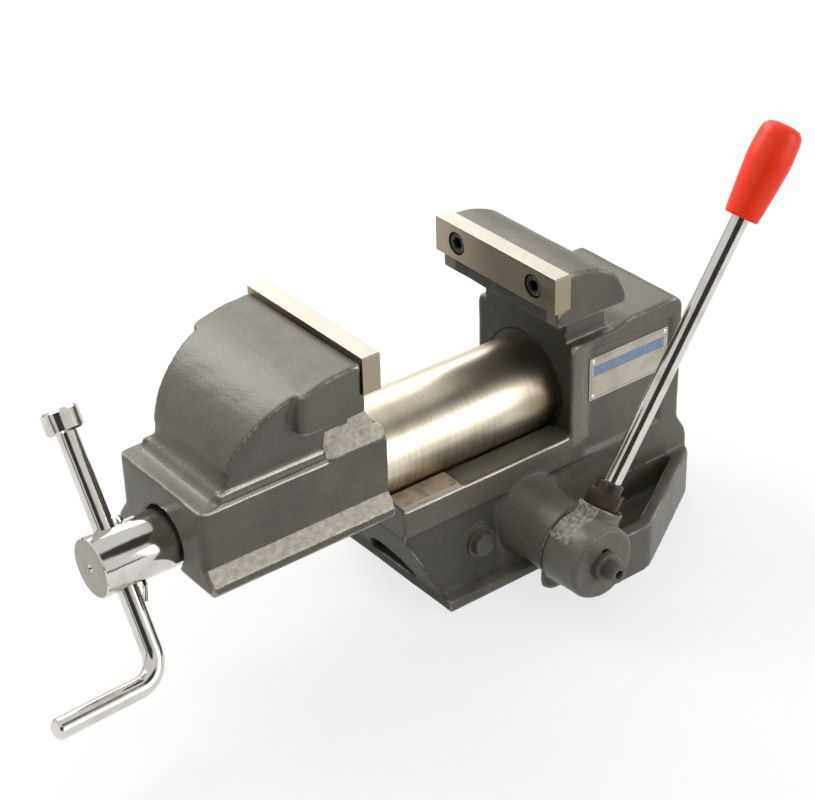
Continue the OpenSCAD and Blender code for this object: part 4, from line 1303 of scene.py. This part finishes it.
@dataclass
class BodyAssembly(Assembly):
    """Fixed body on the bench, its jaw plate, label, caps and cross bolt."""

    body: str = "body"
    voxel: float = 1.25 * MM
    trough_play: float = 1.5 * MM
    rail_pad_end: float = -0.069
    rail_pad_top: float = 0.0885
    rail_pad_reach: float = 0.12
    rail_top: float = 0.088
    rail_lip: float = 0.086
    pad_half: float = 47.25 * MM
    seam_z: float = 0.066
    neck_half: float = 43 * MM
    neck_foot: float = 0.1597
    neck_len: float = 56 * MM
    side_half: float = 50.75 * MM
    well_top: float = 0.037
    well_len: float = 98 * MM
    block_face: Span = (0.089, 0.199)
    block_band: Span = (0.08, 0.157)
    boss_front: float = -0.06
    boss_top: float = 0.09
    slope_half: float = 100 * MM
    slope_end: float = -0.08
    window_end: float = -0.042
    foot_top: float = 0.008
    rivet_r: float = 2 * MM
    rivet_shank_r: float = 1.3 * MM
    cap_screw_r: float = 3.4 * MM
    cap_shank_r: float = 1.5 * MM

    def build(self) -> None:
        """Make and dress every piece of the body."""
        self.casting()
        self.jaw_screws("fixed_jaw_screws", self.body, Vector((0, 1, 0)))
        self.rivets()
        self.cap_screws()
        for node in ("pivot_bolt", "pivot_nut"):
            self.ease(node, self.body, Finish.CASTING, 0.5 * MM)
        self.dress({Finish.PLATE: ("fixed_jaw_plate",), Finish.BRONZE: ("tube_bushes", "shaft_bushes"),
                    Finish.RUBBER: ("tube_wiper",), Finish.BRIGHT: ("guide_key",),
                    Finish.LABEL: ("nameplate",), Finish.CASTING: ("shaft_cap", "pivot_washer")})

    def casting(self) -> None:
        """Cast the body with its tube bore and shaft bore cut true."""
        low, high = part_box("body_casting")
        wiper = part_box("tube_wiper")[0].y
        axis = middle_of("slide_tube")
        trough_r = half_of("slide_tube", Axis.X) + self.trough_play
        shaft_r = half_of("shaft_bushes", Axis.Z)
        bores = [
            Bore(Axis.Y, axis, trough_r, low.y - MM, wiper),
            Bore(Axis.Y, axis, half_of("tube_bushes", Axis.X), wiper, high.y),
            Bore(Axis.X, middle_of("shaft_bushes"), shaft_r, low.x - MM, high.x + MM),
        ]
        skin = Casting("body_casting", self.body, self.voxel, bores, self.patches(low, high))
        skin.build(self.frame, self.palette)

    def patches(self, low: Vector, high: Vector) -> list[Patch]:
        """Rubbed rail pads, painted highlight lines along edges (partly chafed paint), bands lightened as
        painted light, and painted shade in the seams, in the boss gap, under the head and low on the front
        and sides of the body.

        Args:
            low: Lowest corner of the body's box.
            high: Highest corner of the body's box.

        Returns:
            The patches.
        """
        front, block = low.y - MM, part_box("tube_wiper")[0].y
        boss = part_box("lever_hub")[0].x
        side, seam, neck = self.side_half, self.seam_z, self.neck_half
        rail, pad = (front, block), (front, self.rail_pad_end)
        top, pad_top, pad_side = self.rail_top, self.rail_pad_top, self.pad_half
        single = [
            # Painted shade in the gap between the body's boss and the lever hub.
            Patch(Mark.HOLLOW, (boss - 2.2 * MM, boss + MM), rail, (low.z, high.z)),
            # Painted shade on the block's front face under the head.
            Patch(Mark.HOLLOW, around(0, side - 2.5 * MM), (0, block + 2 * MM), self.block_face,
                  FORWARD, least=0.4),
            # Painted light on the upper half of the boss.
            Patch(Mark.FADED, (side + 2 * MM, boss - 2.5 * MM), (self.boss_front, block),
                  (low.z, self.boss_top), least=-0.3, strength=0.3),
            # Painted shade low on the front of the base.
            Patch(Mark.HOLLOW, around(0, self.slope_half), (front, self.slope_end), (low.z, seam),
                  FORWARD, least=0.3, strength=0.85),
        ]
        paired = [
            Patch(Mark.RUBBED, (0, side), pad, (pad_top, self.rail_pad_reach), least=0.8),
            # Painted highlight line at the foot of the neck.
            Patch(Mark.EDGE, (neck - 0.8 * MM, neck + 1.4 * MM), (block, block + self.neck_len),
                  around(self.neck_foot, 1.4 * MM), strength=0.8),
            # Painted highlight lines, partly chafed paint, on the rail edge and the pad edge.
            Patch.ridge((side - 2.6 * MM, side + 0.6 * MM), rail, (top - 2.4 * MM, top + 0.6 * MM)),
            Patch.ridge((pad_side - 1.8 * MM, pad_side + 0.8 * MM), pad, (pad_top, pad_top + 2.2 * MM)),
            # Painted highlight line along the top of the well.
            Patch(Mark.EDGE, (side - MM, side + 2 * MM), (block + 10 * MM, block + self.well_len),
                  around(self.well_top, 1.2 * MM), strength=0.8),
            # Painted shadow line under the small step at the seam.
            Patch(Mark.HOLLOW, (side - 4 * MM, side + MM), (front, block + 20 * MM), around(seam, 0.9 * MM)),
            # Painted shade on the lower sides, below the seam.
            Patch(Mark.HOLLOW, around(side, 8 * MM), (front, self.window_end), (self.foot_top, seam - MM),
                  OUTWARD, least=0.5, strength=0.5),
            # Painted light on the side band of the rails, above the seam.
            Patch(Mark.FADED, (side - 2 * MM, side + MM), rail, (seam + MM, self.rail_lip),
                  OUTWARD, least=0.5, strength=0.15),
            # Painted light on the strip of the side just behind the block's front face.
            Patch(Mark.FADED, (side - 4 * MM, side + MM), (block + MM, block + 18 * MM), self.block_band,
                  OUTWARD, least=0.5, strength=0.75),
        ]
        return single + [twin for patch in paired for twin in patch.both_sides()]

    def rivets(self) -> None:
        """Set out the four rivets of the label."""
        low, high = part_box("nameplate_rivets")
        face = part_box("nameplate")[1].x
        centre = middle_of("nameplate_rivets")
        rivet = DriveRivet(self.rivet_r, high.x - face, self.rivet_shank_r, face - low.x)
        place = turned_to(Vector((0, 1, 0)), Vector((-1, 0, 0)), Vector((face, centre.y, centre.z)))
        width, height = (high[k] - low[k] - 2 * self.rivet_r for k in (1, 2))
        spread = FastenerSet("nameplate_rivets", self.body, Layout.GRID, 2, width, height, place)
        spread.build(rivet.mesh("rivet"), Finish.BRIGHT, self.palette)

    def cap_screws(self) -> None:
        """Set out the three screws of the blind cap on the left."""
        low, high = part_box("shaft_cap_screws")
        centre = middle_of("shaft_ring")
        head_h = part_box("shaft_cap")[0].x - low.x
        screw = SocketScrew(self.cap_screw_r, head_h, self.cap_shank_r, high.x - low.x,
                            socket_share=0.5, bevel=0.35 * MM)
        place = turned_to(Vector((0, 0, 1)), Vector((1, 0, 0)), Vector((low.x, centre.y, centre.z)))
        ring_r = high.z - centre.z - self.cap_screw_r
        spread = FastenerSet("shaft_cap_screws", self.body, Layout.RING, 3, ring_r, 0, place)
        spread.build(screw.mesh("cap_screw"), Finish.BLACK, self.palette)


@dataclass
class FrontJaw(Assembly):
    """Sliding front jaw with its plate and inner bushes."""

    body: str = "front_jaw"
    voxel: float = 1.2 * MM
    tube_play: float = 0.1 * MM
    box_half: float = 48.7 * MM
    flange_top: float = 0.1125
    ledge: float = 0.1518
    pad_y: Span = (-0.1755, -0.128)
    pad_x: float = 37.5 * MM
    pad_top: float = 0.1715
    plinth_half: float = 43.9 * MM
    plinth_top: float = 0.1575
    plinth_y: float = -0.257
    flange_half: float = 56 * MM
    flange_edge: float = 0.1008

    def build(self) -> None:
        """Make and dress every piece of the front jaw."""
        self.casting()
        self.jaw_screws("front_jaw_screws", self.body, Vector((0, -1, 0)))
        self.dress({Finish.PLATE: ("front_jaw_plate",), Finish.BRIGHT: ("jaw_key",),
                    Finish.BRONZE: ("spindle_bush",)})

    def casting(self) -> None:
        """Cast the jaw, with bare flanges, rough pads, a melted step and true bores."""
        low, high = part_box("front_jaw_casting")
        bush_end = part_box("spindle_bush")[1].y
        axis = middle_of("slide_tube")
        tube_r = half_of("slide_tube", Axis.X) + self.tube_play
        bores = [
            Bore(Axis.Y, axis, tube_r, bush_end, high.y + MM),
            Bore(Axis.Y, axis, half_of("spindle_bush", Axis.X), low.y - MM, bush_end - MM),
        ]
        flange = Patch(Mark.BARE, (self.box_half, high.x), (low.y + 1.5 * MM, high.y),
                       (low.z, self.flange_top), least=0.3)
        pad = Patch(Mark.BARE, (self.pad_x, high.x), self.pad_y, (self.ledge, self.pad_top))
        patches = flange.both_sides() + pad.both_sides()
        # Painted highlight lines, partly chafed paint, along the box, plinth and flange edges.
        for half, top, start, end in (
            (self.box_half, self.ledge, low.y, self.pad_y[0]),
            (self.plinth_half, self.plinth_top, self.plinth_y, self.pad_y[0]),
            (self.flange_half, self.flange_edge, low.y, high.y),
        ):
            across, up = (half - 2.6 * MM, half + 0.6 * MM), (top - 2.4 * MM, top + 0.6 * MM)
            patches += Patch.ridge(across, (start + 2 * MM, end), up).both_sides()
        step = Patch(Mark.HOLLOW, around(0, self.plinth_half - 3 * MM),
                     (self.plinth_y - 8 * MM, self.plinth_y + 20 * MM),
                     (self.ledge - 2 * MM, self.plinth_top + 9 * MM), soft=5 * MM)
        skin = Casting("front_jaw_casting", self.body, self.voxel, bores, patches, [step], seed=11)
        skin.build(self.frame, self.palette)


@dataclass
class SlideTube(Assembly):
    """Ground tube with its nut, pins and end cap."""

    def build(self) -> None:
        """Dress the tube and what it holds."""
        self.dress({Finish.GROUND: ("slide_tube",), Finish.BRONZE: ("feed_nut",),
                    Finish.BRIGHT: ("feed_nut_pins",), Finish.CASTING: ("tube_end_cap",)})


@dataclass
class ScrewAndCrank(Assembly):
    """Screw with its collar and leaf spring, and the crank bar through its head."""

    body: str = "spindle"

    def build(self) -> None:
        """Ease and dress the screw, the spring and the crank."""
        for node, finish in (("spindle", Finish.SCREW), ("handle_spring", Finish.BRIGHT)):
            self.ease(node, self.body, finish, 0.3 * MM)
        self.dress({Finish.BRIGHT: ("crank_bar", "crank_cap", "retaining_collar"),
                    Finish.BRONZE: ("thrust_washer",)})


@dataclass
class ClampLever(Assembly):
    """Lever with its hub, rod and grip, on the cross shaft."""

    body: str = "lever"
    voxel: float = 0.75 * MM
    rough_from: float = 0.7
    rough_len: float = 18 * MM
    waves: Span = (8 * MM, 24 * MM)
    edge_span: Span = (0.06 * MM, 0.16 * MM)
    swell: tuple[Span, ...] = (
        (0.0, 0.715), (0.012, 0.765), (0.12, 0.82), (0.37, 0.92), (0.6, 1.0), (0.69, 1.0),
        (0.87, 0.95), (0.935, 0.885), (0.98, 0.7), (0.997, 0.4),
    )
    swell_rings: int = 60
    grip_steps: int = 64

    def build(self) -> None:
        """Make and dress every piece of the lever."""
        self.hub()
        self.grip()
        self.ease("hub_bolt", self.body, Finish.PAINTED, 0.5 * MM)
        self.ease("lever_jam_nut", self.body, Finish.WORN, 0.4 * MM)
        self.dress({Finish.BRIGHT: ("cam_shaft", "lever_rod"), Finish.BLACK: ("hub_key", "shaft_ring"),
                    Finish.CASTING: ("hub_washer",)})

    def hub(self) -> None:
        """Cast the hub, its rod socket left rough."""
        low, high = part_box("lever_hub")
        deep, tall = (low.y, high.y), (low.z, high.z)
        rise = low.z + self.rough_from * (high.z - low.z)
        patches = [
            Patch(Mark.BARE, (low.x - MM, low.x + self.rough_len), (low.y, high.y + MM), (rise, high.z + MM),
                  strength=0.42),
            # Painted light over the hub.
            Patch(Mark.FADED, (low.x + MM, high.x), deep, tall, strength=0.25),
            # Painted shade at the hub's inner end, in the gap to the body.
            Patch(Mark.HOLLOW, (low.x - MM, low.x + 1.4 * MM), deep, tall),
        ]
        skin = Casting("lever_hub", self.body, self.voxel, (), patches, rounds=4, seed=3,
                       wave_lengths=self.waves, edge_span=self.edge_span, most_triangles=90_000)
        skin.build(self.frame, self.palette)

    def grip(self) -> None:
        """Mould the grip along the rod, with a smooth swell and a rolled end."""
        points = points_of(self.frame["nodes"]["lever_rod"].data)
        centre = Vector(points.mean(axis=0))
        way = Vector(np.linalg.svd(points - points.mean(axis=0), full_matrices=False)[2][0])
        way *= 1 if way.z > 0 else -1
        solid = points_of(self.frame["nodes"]["lever_grip"].data) - np.array(centre)
        along = solid @ np.array(way)
        start, length = along.min(), along.max() - along.min()
        widest = np.linalg.norm(solid - along[:, None] * np.array(way), axis=1).max()
        heights, radii = np.array(self.swell).T
        rings: list[Ring] = [(0, 0, ROUND)]
        for share in np.linspace(0, heights[-1], self.swell_rings):
            rings.append((float(np.interp(share, heights, radii)) * widest, float(share) * length, ROUND))
        rings.append((0, length, ROUND))
        mesh = turned("lever_grip_moulding", rings, self.grip_steps)
        mesh.transform(turned_to(way.orthogonal().normalized(), way, centre + way * start))
        mesh.update()
        self.palette.settle(link("lever_grip_moulding", mesh), "lever_grip", self.body, Finish.GRIP)


@dataclass
class ClampRocker(Assembly):
    """Rocker and saddle pad that press on the tube from below."""

    def build(self) -> None:
        """Dress the rocker, its bush, its pad and the pad's screws."""
        self.dress({Finish.CASTING: ("clamp_rocker",), Finish.BRONZE: ("rocker_bush", "clamp_pad"),
                    Finish.BLACK: ("clamp_pad_screws",)})


@dataclass(frozen=True)
class SoftBox:
    """Square studio lamp."""

    name: str
    place: Point
    width: float
    power: float
    tint: Point = (1.0, 1.0, 1.0)

    def hang(self, aim: Vector) -> None:
        """Hang the lamp and turn it to a point.

        Args:
            aim: The point.
        """
        lamp = bpy.data.lights.new(self.name, "AREA")
        lamp.shape = "SQUARE"
        lamp.size = self.width
        lamp.energy = self.power
        lamp.color = self.tint
        hung = bpy.data.objects.new(self.name, lamp)
        hung.location = self.place
        hung.rotation_euler = (aim - Vector(self.place)).to_track_quat("-Z", "Y").to_euler()
        bpy.context.scene.collection.objects.link(hung)


@dataclass
class Studio:
    """Pale floor, soft lamps, a paper sky and the camera of the photograph.

    A dark gap in the sky has a middle, and starts and is full at a closeness to it. The skyline is the
    height of a direction at which a dark band along the horizon starts and is full.
    """

    eye: Point = (0.9720, -0.8109, 0.8794)
    aim: Point = (-0.0198, -0.0608, 0.1200)
    roll: float = math.radians(-1.475)
    lens: float = 93.69
    sensor: float = 36
    floor_half: float = 9.0
    floor_grey: float = 0.42
    shadow_share: float = 0.22
    paper_glow: float = 0.74
    sky_light: float = 1.0
    dark_light: float = 0.06
    dark_gaps: tuple[tuple[Point, float, float], ...] = (
        ((0.66, -0.66, 0.36), 0.92, 0.965),
        ((0.47, 0.40, 0.79), 0.94, 0.98),
        ((0.92, -0.36, 0.16), 0.93, 0.965),
    )
    skyline: Span = (0.12, 0.04)
    lamps: tuple[SoftBox, ...] = (
        SoftBox("rear_box", (-1.45, 0.78, 1.21), width=1.2, power=11.0, tint=(1.0, 0.975, 0.925)),
        SoftBox("left_box", (-1.44, -0.41, 1.48), width=0.9, power=24.0, tint=(1.0, 0.975, 0.925)),
        SoftBox("right_box", (1.62, 1.0, 0.54), width=0.9, power=11.0),
    )

    def build(self) -> None:
        """Set up the whole studio."""
        self.camera()
        self.floor()
        self.sky()
        for lamp in self.lamps:
            lamp.hang(Vector(self.aim))
        bpy.context.scene.view_settings.view_transform = "Standard"

    def camera(self) -> None:
        """Stand the camera where the photograph was taken."""
        data = bpy.data.cameras.new("camera")
        data.lens = self.lens
        data.sensor_width = self.sensor
        stood = bpy.data.objects.new("camera", data)
        way = Vector(self.aim) - Vector(self.eye)
        turn = way.to_track_quat("-Z", "Y").to_matrix() @ Matrix.Rotation(self.roll, 3, "Z")
        stood.matrix_world = Matrix.Translation(self.eye) @ turn.to_4x4()
        bpy.context.scene.collection.objects.link(stood)
        bpy.context.scene.camera = stood

    def floor(self) -> None:
        """Lay the floor, which shows as white paper and keeps a soft shadow.

        Rays from the camera, and those that a mirror or a clear piece sends on, see the white paper. All
        other rays see a plain grey, so that the floor throws no extra light on the object.
        """
        half = self.floor_half
        mesh = bpy.data.meshes.new("floor")
        corners = [(-half, -half, 0), (half, -half, 0), (half, half, 0), (-half, half, 0)]
        mesh.from_pydata(corners, [], [(0, 1, 2, 3)])
        laid = link("floor", mesh)
        material = bpy.data.materials.new("floor_paper")
        material.use_nodes = True
        paper = Wiring(material.node_tree)
        plain, seen = (paper.node("ShaderNodeBsdfDiffuse", {"Color": (grey, grey, grey, 1)}).outputs[0]
                       for grey in (self.floor_grey, self.shadow_share))
        glow = paper.node("ShaderNodeEmission", {"Strength": self.paper_glow}).outputs[0]
        white = paper.node("ShaderNodeAddShader", {0: seen, 1: glow}).outputs[0]
        rays = paper.node("ShaderNodeLightPath").outputs
        mirrored = paper.math("MAXIMUM", rays["Is Glossy Ray"], rays["Is Transmission Ray"])
        looked_at = paper.math("MAXIMUM", rays["Is Camera Ray"], mirrored)
        chosen = paper.node("ShaderNodeMixShader", {0: looked_at, 1: plain, 2: white}).outputs[0]
        paper.node("ShaderNodeOutputMaterial", {"Surface": chosen})
        mesh.materials.append(material)

    def sky(self) -> None:
        """Surround the vise with white paper that has dark gaps, so that bright steel shows its form."""
        world = bpy.data.worlds.new("studio_room")
        bpy.context.scene.world = world
        world.use_nodes = True
        room = Wiring(world.node_tree)
        way = room.node("ShaderNodeTexCoord").outputs["Generated"]
        dark = room.span(room.axes(way)["Z"], *self.skyline)
        for middle, low, high in self.dark_gaps:
            inputs = {0: way, 1: Vector(middle).normalized()}
            facing = room.node("ShaderNodeVectorMath", inputs, operation="DOT_PRODUCT").outputs["Value"]
            dark = room.math("MAXIMUM", dark, room.span(facing, low, high))
        seen = room.node("ShaderNodeLightPath").outputs["Is Camera Ray"]
        unseen = room.node("ShaderNodeMath", {0: dark, 1: seen}, operation="SUBTRACT", use_clamp=True)
        light = room.between(unseen.outputs["Value"], self.sky_light, self.dark_light)
        sheet = room.node("ShaderNodeBackground", {"Strength": light}).outputs[0]
        room.node("ShaderNodeOutputWorld", {"Surface": sheet})


def clear_scene() -> None:
    """Remove what a new Blender file starts with."""
    for thing in list(bpy.data.objects):
        bpy.data.objects.remove(thing)


def main() -> None:
    """Load the frame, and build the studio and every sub-assembly."""
    logging.basicConfig(level=logging.INFO, format="%(name)s: %(message)s")
    clear_scene()
    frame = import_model()
    Studio().build()
    palette = Palette()
    for assembly in (BodyAssembly, FrontJaw, SlideTube, ScrewAndCrank, ClampLever, ClampRocker):
        assembly(frame, palette).build()


if __name__ == "__main__":
    main()
